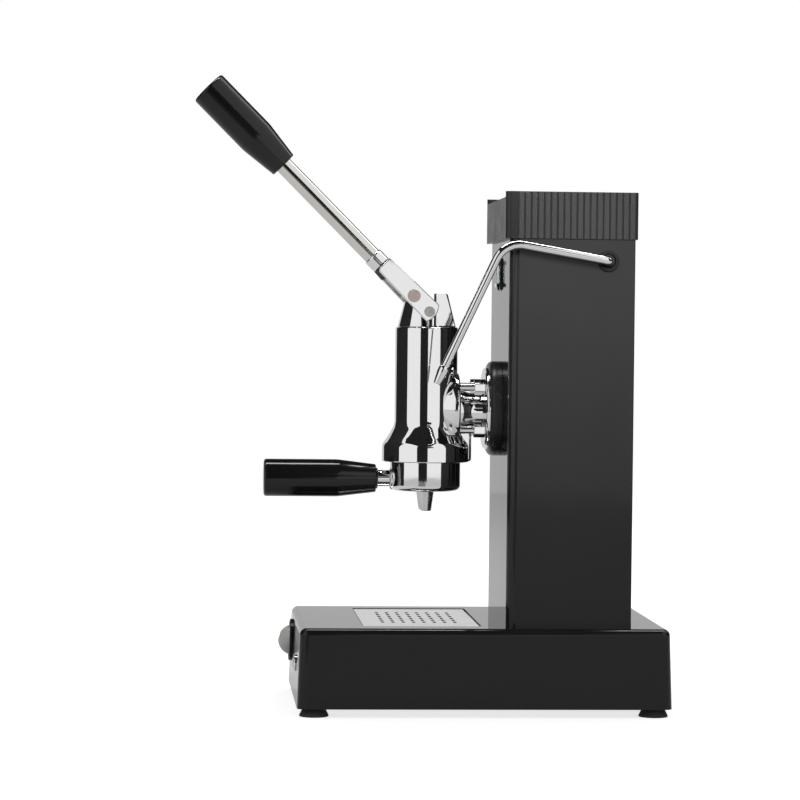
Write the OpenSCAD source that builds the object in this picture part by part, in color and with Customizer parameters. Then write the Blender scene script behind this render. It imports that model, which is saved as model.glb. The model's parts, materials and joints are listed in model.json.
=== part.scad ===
// Lever coffee machine: a black base and tower, a chromed spring group with a two-pin lever yoke,
// a one-spout filter holder and a swinging steam wand. Millimetres, +Z up, front towards -Y.
// The brewing axis is X = 0, Y = 0 and the counter is Z = 0.

/* [Base] */
// Length of the base from front to back
base_d = 292; // [262:1:330]
// Width of the base
base_w = 200; // [184:1:230]
// Height of the base top above the counter
base_h = 68.9; // [62:0.1:80]
// Distance from the brewing axis to the front of the base
base_reach = 105; // [98:0.5:120]
// Inward lean of each base side over its height
base_draft = 1.9; // [1:0.1:3]
// Radius of the base's upper edges
base_edge = 5; // [3:0.5:8]
// Radius of the base's upright corners
base_corner = 7; // [4:0.5:12]
// Wall of the base shell
base_wall = 4; // [3:0.1:6]
// Thickness of the bottom plate
floor_t = 1.5; // [1:0.1:3]

/* [Feet] */
// Height of each rubber foot
foot_h = 6.7; // [5:0.1:9]
// Lower radius of each foot
foot_r = 11.7; // [10:0.1:13]
// Upper radius of each foot
foot_top_r = 8.5; // [7:0.1:9.5]
// Distance of the foot centres from the base sides
foot_inset = 13.5; // [13.2:0.1:20]
// Radius of the foot screws
screw_r = 2; // [1.5:0.1:2.5]

/* [Drip tray] */
// Width of the tray opening
tray_w = 150; // [120:1:156]
// Front edge of the tray opening, ahead of the brewing axis
tray_front = 53.5; // [45:0.5:60]
// Rear edge of the tray opening, behind the brewing axis
tray_back = 39.5; // [34:0.5:43]
// Depth of the tray well below the base top
tray_depth = 28; // [20:0.5:34]
// Thickness of the pierced cover
grid_t = 1.2; // [0.8:0.1:2]
// Depth of the cover below the base top
grid_drop = 1.5; // [0.5:0.1:3]
// Width of the cover slots
grid_slot_w = 2.6; // [2:0.1:3.2]
// Length of the cover slots, across the machine
grid_slot_l = 9; // [6:0.5:12]
// Pitch of the cover slots along the machine
grid_pitch = 8.2; // [7:0.1:9.5]
// Pitch of the cover slots across the machine
grid_step = 15.5; // [14:0.5:18]

/* [Controls] */
// Distance of the rocker switch from the left side of the base
switch_in = 36; // [30:0.5:50]
// Height of the rocker switch
switch_z = 43.8; // [38:0.1:46]
// Radius of the switch bezel
switch_r = 17.2; // [15:0.1:19]
// Radius of the rocker ball
rocker_r = 12.6; // [11:0.1:13]
// Distance of the pilot lamp from the right side of the base
lamp_in = 64; // [40:0.5:75]
// Height of the pilot lamp
lamp_z = 35.9; // [30:0.1:42]
// Radius of the lamp ring
lamp_r = 6.6; // [5.5:0.1:8]
// Radius of the cord opening at the rear
cord_r = 4; // [3.5:0.1:5]

/* [Tower] */
// Width of the tower
tower_w = 147; // [138:0.5:156]
// Depth of the tower
tower_d = 98.5; // [94:0.5:105]
// Height of the tower above the base
tower_h = 303.1; // [300:0.1:320]
// Sheet thickness of the tower
sheet = 2; // [1.5:0.1:2.5]
// Radius of the tower's front corners
tower_corner = 7.5; // [5:0.5:10]
// Height of the ribbed collar
collar_h = 36.8; // [34:0.1:42]
// Overhang of the collar past the tower sides and back
collar_lip = 2; // [1.5:0.1:3]
// Overhang of the collar past the tower front
collar_front_lip = 4; // [3:0.1:5]
// Wall of the collar
collar_wall = 4.5; // [4:0.1:6]
// Step down of the collar's front wall
collar_step = 4.2; // [2:0.1:6]
// Pitch of the collar ribs
rib_pitch = 5.14; // [4.5:0.02:6]

/* [Boiler] */
// Clearance between the boiler and the tower front
boiler_gap = 5.5; // [5.3:0.1:9]
// Clearance between the boiler and the tower back
boiler_back = 7.5; // [6.5:0.1:11]
// Height of the boiler's straight wall
boiler_h = 138; // [126:1:139]
// Height of the boiler above the base top
boiler_lift = 134; // [130:1:138]
// Wall of the boiler
boiler_wall = 2; // [1.5:0.1:3]

/* [Steam] */
// Distance of the wand pivot ahead of the tower back
wand_in = 21.5; // [18.5:0.5:25.5]
// Drop of the wand pivot below the tower top
wand_drop = 17; // [14:0.5:20]
// Clear distance between the wand tube and the tower side
wand_off = 10.5; // [8:0.1:14]
// Radius of the wand tube
wand_r = 3.4; // [3:0.1:4]
// Rise angle of the wand's upper leg
wand_rise = 9.7; // [5:0.1:14]
// Length of the upper leg to the bend corner
wand_leg = 83.8; // [70:0.1:95]
// Turn of the wand at the bend
wand_turn = 74.6; // [60:0.1:90]
// Length of the lower leg from the bend corner
wand_arm = 107.7; // [90:0.1:125]
// Centre line radius of the bend
wand_bend = 20; // [15:0.5:26]
// Radius of the steam knob
knob_r = 19; // [15:0.5:22]

/* [Group] */
// Clear height from the base top to the bell rim
cup_room = 125.4; // [122:0.1:135]
// Height of the bell
bell_h = 13.7; // [13:0.1:16]
// Outer radius of the bell
bell_r = 35; // [34:0.1:37]
// Height of the flare between bell and barrel
flare_h = 15; // [12:0.1:18]
// Height of the barrel above the flare
barrel_h = 79.4; // [76:0.1:90]
// Outer radius of the barrel
barrel_r = 25.1; // [25:0.1:26]
// Bore radius of the barrel
bore_r = 22.1; // [21.5:0.05:22.2]
// Distance from the brewing axis to the neck's end
neck_reach = 46; // [45:0.1:50]
// Radius of the neck
neck_r = 15; // [13:0.1:15.2]
// Thickness of the chromed flange
flange_t = 3; // [2:0.1:5]
// Radius of the chromed flange
flange_r = 36.5; // [34:0.1:37.5]
// Thickness of the insulating disc
disc_t = 10; // [8:0.1:13]
// Radius of the insulating disc
disc_r = 38; // [37:0.1:41]
// Half spacing of the flange bolts, sideways and upright
bolt_half = 17; // [17:0.1:18]
// Radius of the flange bolts
bolt_r = 3.1; // [2.5:0.05:3.5]
// Height of the hood above the barrel
hood_h = 26.8; // [26:0.1:30]
// Lower radius of the hood
hood_r = 23.4; // [22.8:0.1:24]
// Upper radius of the hood
hood_top_r = 16.6; // [15:0.1:18]
// Width of the hood slot
slot_w = 12.6; // [12.2:0.1:14]

/* [Lever] */
// Height of the rod pin above the barrel at rest
pin_lift = 12.1; // [11:0.1:13]
// Distance between the two lever pins
pin_gap = 17.7; // [17:0.1:18.5]
// Angle of the lever above the horizontal at rest
lever_tilt = 45; // [42:0.5:48]
// Radius of the fulcrum pin
fulcrum_r = 4; // [3.5:0.05:4.5]
// Radius of the rod pin
pin_r = 3.2; // [2.8:0.05:3.5]
// Thickness of each yoke cheek
cheek_t = 4; // [3:0.1:5]
// Radius of the yoke's rounded ends
cheek_r = 9.8; // [9:0.1:10.5]
// Distance from the rod pin to the yoke's outer end
yoke_l = 52.7; // [50:0.1:58]
// Thickness of the yoke bridge
bridge_t = 10; // [8:0.1:12]
// Radius of the lever collar
ferrule_r = 8; // [7.5:0.1:9]
// Length of the lever collar
ferrule_l = 10; // [8:0.1:14]
// Radius of the lever rod
lever_r = 7; // [6:0.1:7.4]
// Visible length of the lever rod
lever_l = 101.6; // [90:0.1:115]
// Radius of the piston rod
rod_r = 4.6; // [4:0.05:5]
// Radius of the piston rod's eye
eye_r = 5.9; // [5.5:0.05:6]

/* [Grips] */
// Length of each grip
grip_l = 87; // [80:0.5:95]
// Length of the filter holder's grip
holder_grip_l = 90.5; // [82:0.5:98]
// Largest radius of each grip
grip_r = 15; // [13.8:0.1:16.5]
// Radius of each grip at the rod
grip_neck_r = 11.2; // [10:0.1:12.5]
// Length of the grip's tapered part
grip_taper = 31; // [24:0.5:40]

/* [Filter holder] */
// Outer radius of the filter holder
holder_r = 28.2; // [27.9:0.05:28.3]
// Height of the holder below the bell rim
holder_h = 23.3; // [22:0.1:27]
// Drop of the handle axis below the bell rim
handle_drop = 13.7; // [13:0.1:15]
// Radius of the handle stem
stem_r = 6.6; // [6:0.1:7.2]
// Length of the visible handle stem
stem_l = 11.2; // [10:0.1:16]
// Length of the spout
spout_l = 16.4; // [14:0.1:20]
// Upper radius of the spout
spout_r = 7.2; // [6.8:0.1:8]

/* [Hidden] */
$fn = 48;
// Radial clearance of running and threaded fits
fit = 0.05;
// Clearance between loose neighbours
loose = 0.4;
// Overlap used only inside cuts and inside one solid
eps = 0.02;

base_front = -base_reach;
base_mid = base_front + base_d / 2;
base_rear = base_front + base_d;
tower_front = neck_reach + flange_t + disc_t;
tower_rear = tower_front + tower_d;
tower_top = base_h + tower_h;
collar_top = tower_top + collar_h;
side_x = tower_w / 2;
BACK_SCREWS = [for (sx = [-1, 1], z = [base_h + 20, tower_top - 20]) [sx * (side_x - sheet - 5.5), z]];

foot_x = base_w / 2 - foot_inset;
foot_front = base_front + foot_inset;
foot_rear = base_rear - foot_inset;
FEET = [[-foot_x, foot_front], [foot_x, foot_front], [-foot_x, foot_rear], [foot_x, foot_rear]];
floor_z = foot_h + floor_t;
screw_grip = 10;
screw_top = floor_z + screw_grip;
post_r = screw_r + 4;
screw_head_r = screw_r + 1.8;
screw_head_t = 1.6;
foot_web = 3;

tray_mid = (tray_back - tray_front) / 2;
tray_l = tray_front + tray_back;
well_z = base_h - tray_depth;
well_wall = 2;
seam_z = base_h - max(base_edge, base_wall + 1);
tray_corner = 3;
tray_wall = 1.5;
grid_top = base_h - grid_drop;
grid_z = grid_top - grid_t;
grid_cols = 8;
grid_rows = 6;

switch_x = switch_in - base_w / 2;
lamp_x = base_w / 2 - lamp_in;
face_lean = atan(base_draft / (base_h - foot_h - base_edge));
bezel_proud = 2.4;
bezel_bore = rocker_r + 0.4;
barrel_bez = bezel_bore + 1.6;
rocker_in = -1.3;
rocker_face = 11.8;
rocker_tilt = 14;
trunnion_r = 1.5;
trunnion_x = bezel_bore + 0.8;
lens_r = lamp_r - 2;
gland_r = cord_r + 4.5;
gland_in = 38;
gland_x = base_w / 2 - gland_in;
gland_z = 30;

boiler_r = (tower_d - 2 * sheet - boiler_gap - boiler_back) / 2;
boiler_y = tower_front + sheet + boiler_gap + boiler_r;
boiler_z = base_h + boiler_lift;
boiler_top = boiler_z + boiler_h;
dome_h = 9;
heater_r = 2.8;
heater_half = 4.6;
heater_l = 60;
heater_z = boiler_z + heater_l;
heater_flange_r = 18;
heater_flange_t = 6;
heater_plug_r = 8;
heater_plug_l = 4;
crown_z = boiler_top + dome_h;
neck_fill_r = 13;
crown_x = max(neck_fill_r + 11, boiler_r - 16.75);
collar_floor_t = 3;
collar_floor = tower_top + collar_floor_t;
shelf_z = collar_floor + 14;
plate_t = 1.5;
fill_top = tower_top + 4;
cap_r = 17;
window_z = tower_top - 26.5;
window_h = 27;
window_w = 22;
glass_r = 3.4;
nib_h = 3;
glass_half = window_h / 2 - 3 - nib_h;
glass_y = tower_front - 0.4;

wand_y = tower_rear - wand_in;
wand_z = tower_top - wand_drop;
wand_x = side_x + wand_off;
wand_elbow = 6.5;
wand_tan = wand_bend * tan(wand_turn / 2);
wand_end = wand_arm - wand_tan;
riser_y = boiler_y + boiler_r / 2;
ball_r = 5.4;
grommet_r = 8.2;
main_r = 5.5;
spindle_r = 3;
knob_gap = 4;
knob_l = 17;
knob_x = -(side_x + knob_gap);
spindle_in = 38;
spindle_out = 10;
socket_r = 9;
socket_l = 8;
riser_r = 3.2;

bell_z = base_h + cup_room;
flare_z = bell_z + bell_h;
barrel_z = flare_z + flare_h;
barrel_top = barrel_z + barrel_h;
hood_top = barrel_top + hood_h;
flange_z = barrel_z + 14.5;
neck_z = flange_z - 3;
BOLTS = [for (sx = [-1, 1], sz = [-1, 1]) [sx * bolt_half, flange_z + sz * bolt_half]];
port_z = barrel_z - 1.5;
port_r = 3;
pad_y = 26;
pad_t = 6;
pad_r = bolt_half * sqrt(2) + bolt_r + 1.2;
nut_t = 9;
nut_r = 6.3;
bolt_in = tower_front + sheet + 4;

spigot_h = 12;
spigot_z = barrel_top - spigot_h;
bush_r = rod_r + fit + 2.4;
rod_pin_z = barrel_top + pin_lift;
fulcrum_z = rod_pin_z + pin_gap * sin(lever_tilt);
ledge_gap = 0.3;
ledge_z = fulcrum_z - fulcrum_r - ledge_gap;
horn_x = 8;
yoke_in = hood_r + 0.4;
yoke_out = yoke_in + cheek_t;
head_t = 1.5;
lever_a = yoke_l + ferrule_l;
lever_b = lever_a + lever_l;
tang_r = 4.5;
tang_l = 44;
stud_r = 5;

piston_z = flare_z + 1.5;
piston_h = 21.5;
piston_web = 4;
eye_half = 7;
piston_top = piston_z + piston_h;
piston_r = bore_r - 0.5;
seal_h = 3.5;
seal_in = bore_r - 2.6;
SEALS = [piston_z + 2.5, piston_top - seal_h - 1.5];
spring_len = spigot_z - piston_top;
spring_wire = 2.1;
spring_mid_r = 15.5;
spring_turns = 5;
spring_steps = 24;
spring_sides = 12;
spring_rows = spring_turns * spring_steps;
spring_rise = (spring_len - 2 * spring_wire) / spring_rows;
spring_points = [
    for (i = [0:spring_rows], k = [0:spring_sides - 1])
        let (a = i * 360 / spring_steps, b = k * 360 / spring_sides, r = spring_mid_r + spring_wire * cos(b))
            [r * cos(a), r * sin(a), piston_top + spring_wire * (1 + sin(b)) + spring_rise * i]
];
spring_faces = concat(
    [[for (k = [0:spring_sides - 1]) k]],
    [
        for (i = [0:spring_rows - 1], k = [0:spring_sides - 1])
            let (a = i * spring_sides, b = a + spring_sides, n = (k + 1) % spring_sides)
                [a + k, b + k, b + n, a + n]
    ],
    [[for (k = [spring_sides - 1:-1:0]) spring_rows * spring_sides + k]]
);

cavity_r = bell_r - 3.5;
bayonet_h = 2;
bayonet_r = holder_r + 0.4;
lug_z = bell_z + bayonet_h + 0.25;
lug_h = 3.4;
lug_r = cavity_r - 0.5;
lug_arc = 50;
unlock = 55;
gasket_t = 5;
gasket_z = flare_z - gasket_t;
screen_r = bore_r + 1.1;
screen_t = 1;
rim_t = 1;
rim_z = gasket_z - 0.1 - rim_t;
rim_r = holder_r - 1.4;
basket_r = 24.4;
basket_h = 22;
holder_z = bell_z - holder_h;
holder_floor = holder_z + 5;
handle_z = bell_z - handle_drop;
boss_r = 9;
boss_y = holder_r + 0.6;
grip_y = boss_y + stem_l;
seat_ring_t = 1.4;

// A cylinder lying along +Y from y0 to y1
module bar_y(r, y0, y1, x = 0, z = 0) {
    translate([x, y0, z]) rotate([-90, 0, 0]) cylinder(r = r, h = y1 - y0);
}

// A cylinder lying along +X from x0 to x1
module bar_x(r, x0, x1, y = 0, z = 0) {
    translate([x0, y, z]) rotate([0, 90, 0]) cylinder(r = r, h = x1 - x0);
}

// An upright cylinder from z0 to z1
module post(r, z0, z1, x = 0, y = 0) {
    translate([x, y, z0]) cylinder(r = r, h = z1 - z0);
}

// An upright ring
module ring(r_out, r_in, z0, z1) {
    difference() {
        post(r_out, z0, z1);
        post(r_in, z0 - eps, z1 + eps);
    }
}

// A box between two corners
module box(a, b) {
    translate(a) cube(b - a);
}

// A rectangle with round corners, as a flat outline
module round_rect(w, d, r) {
    square([w - 2 * r, d], center = true);
    square([w, d - 2 * r], center = true);
    for (sx = [-1, 1], sy = [-1, 1]) {
        translate([sx * (w / 2 - r), sy * (d / 2 - r)]) circle(r = r);
    }
}

// Side outline of the base: leaning walls and round upper edges
module base_outline(length) {
    h = base_h - foot_h;
    in_x = length / 2 - base_draft;
    arc_x = in_x - base_edge;
    arc_y = h - base_edge;
    polygon([
        [-length / 2, 0], [length / 2, 0], [in_x, arc_y], [arc_x, h], [-arc_x, h], [-in_x, arc_y]
    ]);
    for (s = [-1, 1]) translate([s * arc_x, arc_y]) circle(r = base_edge);
}

module base_solid() {
    translate([0, base_mid, foot_h]) intersection() {
        rotate([90, 0, 90]) linear_extrude(height = base_w, center = true) base_outline(base_d);
        rotate([90, 0, 0]) linear_extrude(height = base_d, center = true) base_outline(base_w);
        linear_extrude(height = base_h) round_rect(base_w, base_d, base_corner);
    }
}

// Inner space of the base, open below
module base_room() {
    w = base_w - 2 * base_wall - 2 * base_draft;
    d = base_d - 2 * base_wall - 2 * base_draft;
    translate([0, base_mid, foot_h - eps]) {
        linear_extrude(height = base_h - foot_h - base_wall + eps) round_rect(w, d, base_corner - 2);
    }
}

// Places a child on the leaning front wall of the base, with its own +Z pointing forward
module on_front(x, z) {
    y = base_front + base_draft * (z - foot_h) / (base_h - foot_h - base_edge);
    translate([x, y, z]) rotate([90 - face_lean, 0, 0]) children();
}

module base_skin() {
    difference() {
        base_solid();
        base_room();
    }
}

// The slice of the base above the seam between its walls and its deck
module above_seam() {
    box([-base_w, base_front - 5, seam_z], [base_w, base_rear + 5, base_h + 5]);
}

module base_shell() color("black") difference() {
    base_skin();
    above_seam();
    on_front(switch_x, switch_z) cylinder(r = barrel_bez + fit, h = 40, center = true);
    on_front(lamp_x, lamp_z) cylinder(r = lens_r + 1 + fit, h = 40, center = true);
    bar_y(gland_r - 2 + fit, base_rear - 20, base_rear + 5, gland_x, gland_z);
}

module base_deck() color("black") difference() {
    union() {
        intersection() {
            base_skin();
            above_seam();
        }
        for (p = FEET) post(post_r, floor_z, base_h - base_wall + eps, p.x, p.y);
    }
    translate([0, tray_mid, base_h - base_wall - eps]) {
        linear_extrude(height = base_wall + 2 * eps) round_rect(tray_w, tray_l, tray_corner);
    }
    for (p = FEET) post(screw_r + fit, floor_z - eps, screw_top + 2, p.x, p.y);
    post(16, base_h - 20, base_h + eps, 0, boiler_y);
}

module base_floor() color("silver") difference() {
    translate([0, base_mid, foot_h]) linear_extrude(height = floor_t) {
        w = base_w - 2 * base_wall - 2 * base_draft - loose;
        round_rect(w, base_d - base_w + w, base_corner - 2);
    }
    for (p = FEET) post(screw_r + 0.3, foot_h - eps, floor_z + eps, p.x, p.y);
}

// Pan under the base top that takes the drip tray
module tray_well() color("black") translate([0, tray_mid, well_z - well_wall]) difference() {
    linear_extrude(height = tray_depth - base_wall + well_wall) {
        round_rect(tray_w + 2 * well_wall, tray_l + 2 * well_wall, tray_corner + well_wall);
    }
    translate([0, 0, well_wall]) linear_extrude(height = tray_depth) round_rect(tray_w, tray_l, tray_corner);
}

module rubber_feet() color("black") for (p = FEET) translate([p.x, p.y, 0]) difference() {
    cylinder(r1 = foot_r, r2 = foot_top_r, h = foot_h);
    translate([0, 0, -eps]) cylinder(r = screw_head_r + 0.8, h = foot_h - foot_web + eps);
    cylinder(r = screw_r + 0.3, h = foot_h + eps);
}

module foot_screws() color("silver") for (p = FEET) {
    post(screw_head_r, foot_h - foot_web - screw_head_t, foot_h - foot_web, p.x, p.y);
    post(screw_r, foot_h - foot_web - eps, screw_top, p.x, p.y);
}

module drip_tray() color("silver") translate([0, tray_mid, well_z]) difference() {
    h = grid_z - well_z;
    linear_extrude(height = h) round_rect(tray_w - 2 * loose, tray_l - 2 * loose, tray_corner);
    translate([0, 0, tray_wall]) linear_extrude(height = h) {
        round_rect(tray_w - 2 * loose - 2 * tray_wall, tray_l - 2 * loose - 2 * tray_wall, tray_corner - 1);
    }
}

module drip_grid() color("silver") translate([0, tray_mid, grid_z]) difference() {
    linear_extrude(height = grid_t) round_rect(tray_w - 2 * loose, tray_l - 2 * loose, tray_corner);
    for (i = [0:grid_rows - 1], j = [0:grid_cols - 1]) {
        x = (i - (grid_rows - 1) / 2) * grid_step;
        y = (j - (grid_cols - 1) / 2) * grid_pitch;
        translate([x, y, -eps]) linear_extrude(height = grid_t + 2 * eps) {
            round_rect(grid_slot_l, grid_slot_w, grid_slot_w / 2 - 0.1);
        }
    }
}

module switch_bezel() color("black") on_front(switch_x, switch_z) difference() {
    union() {
        cylinder(r = switch_r, h = bezel_proud);
        translate([0, 0, -15]) cylinder(r = barrel_bez, h = 15 + eps);
    }
    translate([0, 0, -13.4]) cylinder(r = bezel_bore, h = 30);
    bar_x(trunnion_r + fit, -trunnion_x - 0.3, trunnion_x + 0.3, 0, rocker_in);
}

// Ball rocker on two trunnions with two small flats, lower half out at rest
module switch_rocker() color("gainsboro") on_front(switch_x, switch_z) translate([0, 0, rocker_in]) {
    bar_x(trunnion_r, -trunnion_x, trunnion_x);
    rotate([-rocker_tilt, 0, 0]) difference() {
        sphere(r = rocker_r);
        for (s = [-1, 1]) translate([0, 0, rocker_face]) rotate([s * 7, 0, 0]) {
            translate([-20, s * 20 - 20, 0]) cube(40);
        }
        translate([-20, -20, -22]) cube([40, 40, 20]);
    }
}

module lamp_ring() color("silver") on_front(lamp_x, lamp_z) difference() {
    union() {
        cylinder(r = lamp_r, h = 2);
        translate([0, 0, -9]) cylinder(r = lens_r + 1, h = 9 + eps);
    }
    translate([0, 0, -8]) cylinder(r = lens_r + fit, h = 20);
}

module lamp_lens() color("gainsboro") on_front(lamp_x, lamp_z) intersection() {
    translate([0, 0, -8]) cylinder(r = lens_r, h = 11.4);
    translate([0, 0, -6.5]) sphere(r = 9.8);
}

module cord_gland() color("black") difference() {
    union() {
        bar_y(gland_r, base_rear, base_rear + 3, gland_x, gland_z);
        bar_y(gland_r - 2, base_rear - 12, base_rear + eps, gland_x, gland_z);
    }
    bar_y(cord_r, base_rear - 13, base_rear + 4, gland_x, gland_z);
}

// Upright tower outline seen from above, round at the front corners
module tower_outline(inset) {
    w = tower_w - 2 * inset;
    d = tower_d - inset;
    r = tower_corner - inset;
    translate([-w / 2, tower_front + inset + r]) square([w, d - r]);
    translate([-w / 2 + r, tower_front + inset]) square([w - 2 * r, r + eps]);
    for (s = [-1, 1]) translate([s * (w / 2 - r), tower_front + inset + r]) circle(r = r);
}

module tower_shell() color("black") difference() {
    union() {
        translate([0, 0, base_h]) linear_extrude(height = tower_h) difference() {
            tower_outline(0);
            tower_outline(sheet);
        }
        for (s = [-1, 1]) {
            x = s * (side_x - sheet - 5.5);
            box([x - 5.5, tower_rear - 2 * sheet, base_h], [x + 5.5, tower_rear - sheet, tower_top]);
        }
    }
    bar_y(neck_r + 4, tower_front - 1, tower_front + sheet + 1, 0, flange_z);
    for (p = BOLTS) bar_y(bolt_r + loose, tower_front - 1, tower_front + sheet + 1, p.x, p.y);
    box([-window_w / 2 + 3, tower_front - 1, window_z - window_h / 2 + 3],
        [window_w / 2 - 3, tower_front + sheet + 1, window_z + window_h / 2 - 3]);
    bar_x(grommet_r - 1.6 + fit, side_x - sheet - 1, side_x + 1, wand_y, wand_z);
    bar_x(main_r + fit, -side_x - 1, -side_x + sheet + 1, wand_y, wand_z);
    for (p = BACK_SCREWS) bar_y(1.5 + fit, tower_rear - 3 * sheet, tower_rear, p.x, p.y);
}

module tower_back() color("black") difference() {
    w = side_x - sheet - loose;
    box([-w, tower_rear - sheet, base_h], [w, tower_rear, tower_top]);
    for (p = BACK_SCREWS) bar_y(1.8, tower_rear - 2 * sheet, tower_rear + 1, p.x, p.y);
    for (i = [0:7]) {
        z = base_h + 60 + i * 9;
        box([-34, tower_rear - sheet - 1, z], [34, tower_rear + 1, z + 3.2]);
    }
}

module back_screws() color("silver") for (p = BACK_SCREWS) {
    bar_y(3, tower_rear, tower_rear + 1.6, p.x, p.y);
    bar_y(1.5, tower_rear - 2 * sheet - 2, tower_rear + eps, p.x, p.y);
}

module top_collar() color("dimgray") difference() {
    x = side_x + collar_lip;
    y0 = tower_front - collar_front_lip;
    y1 = tower_rear + collar_lip;
    translate([0, (y0 + y1) / 2, tower_top]) {
        linear_extrude(height = collar_h) round_rect(2 * x, y1 - y0, 5);
    }
    box([-x + collar_wall, y0 + collar_wall, shelf_z], [x - collar_wall, y1 - collar_wall, collar_top + 1]);
    box([-x + 2 * collar_wall, y0 + 2 * collar_wall, collar_floor],
        [x - 2 * collar_wall, y1 - 2 * collar_wall, shelf_z + eps]);
    box([-x + collar_wall, y0 - 1, collar_top - collar_step],
        [x - collar_wall, y0 + collar_wall + 1, collar_top + 1]);
    post(neck_fill_r + 1, tower_top - 1, collar_floor + 1, 0, boiler_y);
    rib_n = floor((y1 - y0 - 16) / rib_pitch / 2);
    rib_m = floor((2 * x - 16) / rib_pitch / 2);
    for (s = [-1, 1], i = [-rib_n:rib_n]) {
        y = (y0 + y1) / 2 + i * rib_pitch;
        box([s * x - 0.8, y - 0.55, tower_top - 1], [s * x + 0.8, y + 0.55, collar_top + 1]);
    }
    for (y = [y0, y1], i = [-rib_m:rib_m]) {
        x_rib = i * rib_pitch;
        box([x_rib - 0.55, y - 0.8, tower_top - 1], [x_rib + 0.55, y + 0.8, collar_top + 1]);
    }
}

module cup_plate() color("silver") difference() {
    x = side_x + collar_lip - collar_wall - loose;
    y0 = tower_front - collar_front_lip + collar_wall + loose;
    y1 = tower_rear + collar_lip - collar_wall - loose;
    box([-x, y0, shelf_z], [x, y1, shelf_z + plate_t]);
    for (i = [-4:4], j = [-2:2]) {
        post(1.9, shelf_z - 1, shelf_z + plate_t + 1, i * 14, (y0 + y1) / 2 + j * 14);
    }
}

module window_frame() color("black") difference() {
    w = window_w / 2;
    h = window_h / 2;
    box([-w, tower_front - 2.8, window_z - h], [w, tower_front, window_z + h]);
    box([-w + 3, tower_front - 5, window_z - h + 3], [w - 3, tower_front + 1, window_z + h - 3]);
}

module sight_glass() color("lightblue") difference() {
    post(glass_r, window_z - glass_half, window_z + glass_half, 0, glass_y);
    post(glass_r - 1, window_z - glass_half - 1, window_z + glass_half + 1, 0, glass_y);
}

// Two blocks that hold the glass and lead to the boiler and to its filling neck
module sight_fittings() color("silver") difference() {
    y0 = tower_front + sheet;
    nib = window_w / 2 - 3 - 0.3;
    union() {
        for (s = [-1, 1]) {
            z = window_z + s * (glass_half + nib_h / 2);
            box([-nib, glass_y - glass_r, z - nib_h / 2], [nib, y0 + eps, z + nib_h / 2]);
        }
        box([-nib - 2, y0, window_z - window_h / 2], [nib + 2, boiler_y, window_z - glass_half]);
        box([-nib - 2, y0, window_z + glass_half], [nib + 2, y0 + 6, window_z + window_h / 2 + 2]);
        bar_y(2, y0 + 5, boiler_y, 0, window_z + window_h / 2 - 1.5);
    }
    post(boiler_r + fit, boiler_z, boiler_top, 0, boiler_y);
    post(neck_fill_r + fit, crown_z, tower_top, 0, boiler_y);
}

module boiler_body() color("gold") difference() {
    union() {
        translate([0, boiler_y, boiler_z]) rotate_extrude() difference() {
            union() {
                square([boiler_r, boiler_h]);
                translate([0, boiler_h - eps]) {
                    polygon([[0, 0], [boiler_r, 0], [boiler_r - 14, dome_h], [0, dome_h]]);
                }
            }
            translate([-eps, boiler_wall]) square([boiler_r - boiler_wall, boiler_h - boiler_wall]);
        }
        bar_y(30, tower_front + sheet, boiler_y - boiler_r + 12, 0, flange_z);
        bar_y(neck_r + 4 - fit, tower_front, tower_front + sheet + 1, 0, flange_z);
        post(neck_fill_r, crown_z - eps, fill_top, 0, boiler_y);
    }
    post(boiler_r - boiler_wall, boiler_z + boiler_wall, boiler_top, 0, boiler_y);
    post(neck_fill_r - 3, boiler_top - 2, fill_top + 1, 0, boiler_y);
    post(heater_plug_r + fit, boiler_z - 1, boiler_z + boiler_wall + 1, 0, boiler_y);
    bar_y(port_r, tower_front - 1, boiler_y - boiler_r + 14, 0, port_z);
    for (p = BOLTS) bar_y(bolt_r + fit, tower_front - 1, bolt_in, p.x, p.y);
}

module heating_element() color("silver") translate([0, boiler_y, 0]) {
    difference() {
        post(heater_flange_r, boiler_z - heater_flange_t, boiler_z);
        for (s = [-1, 1]) {
            post(2.5, boiler_z - heater_flange_t - 1, boiler_z - heater_flange_t / 2, s * heater_half, 0);
        }
    }
    post(heater_plug_r, boiler_z - eps, boiler_z + boiler_wall + heater_plug_l);
    for (s = [-1, 1]) post(heater_r, boiler_z + boiler_wall, heater_z + eps, s * heater_half, 0);
    translate([0, 0, heater_z]) rotate([90, 0, 0]) rotate_extrude(angle = 180) {
        translate([heater_half, 0]) circle(r = heater_r + fit);
    }
}

module filler_cap() color("black") translate([0, boiler_y, 0]) {
    post(cap_r, fill_top, fill_top + 11);
    post(neck_fill_r - 3 - fit, fill_top - 9, fill_top + eps);
}

module safety_valve() color("gold") translate([crown_x, boiler_y - 6, crown_z]) {
    cylinder(r = 6, h = 5, $fn = 6);
    translate([0, 0, 5 - eps]) cylinder(r = 4.4, h = 9);
}

module pressure_switch() color("silver") translate([-crown_x, boiler_y - 6, crown_z]) {
    cylinder(r = 4, h = 4);
    translate([0, 0, 4 - eps]) cylinder(r = 9, h = 8);
}

// Cross pipe from the knob side to the wand side, with a leg down to the boiler
module steam_manifold() color("gold") difference() {
    union() {
        bar_x(main_r, -side_x - 2, side_x - sheet, wand_y, wand_z);
        bar_x(socket_r, side_x - sheet - socket_l, side_x - sheet, wand_y, wand_z);
        post(riser_r, crown_z, wand_z, 0, riser_y);
        bar_y(riser_r, riser_y, wand_y, 0, wand_z);
        translate([0, riser_y, wand_z]) sphere(r = riser_r);
    }
    bar_x(spindle_r + fit, -side_x - 3, -side_x + spindle_in + 2, wand_y, wand_z);
    translate([side_x, wand_y, wand_z]) sphere(r = ball_r + fit);
}

module steam_spindle() color("silver") {
    bar_x(spindle_r, knob_x - spindle_out, -side_x + spindle_in, wand_y, wand_z);
}

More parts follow.
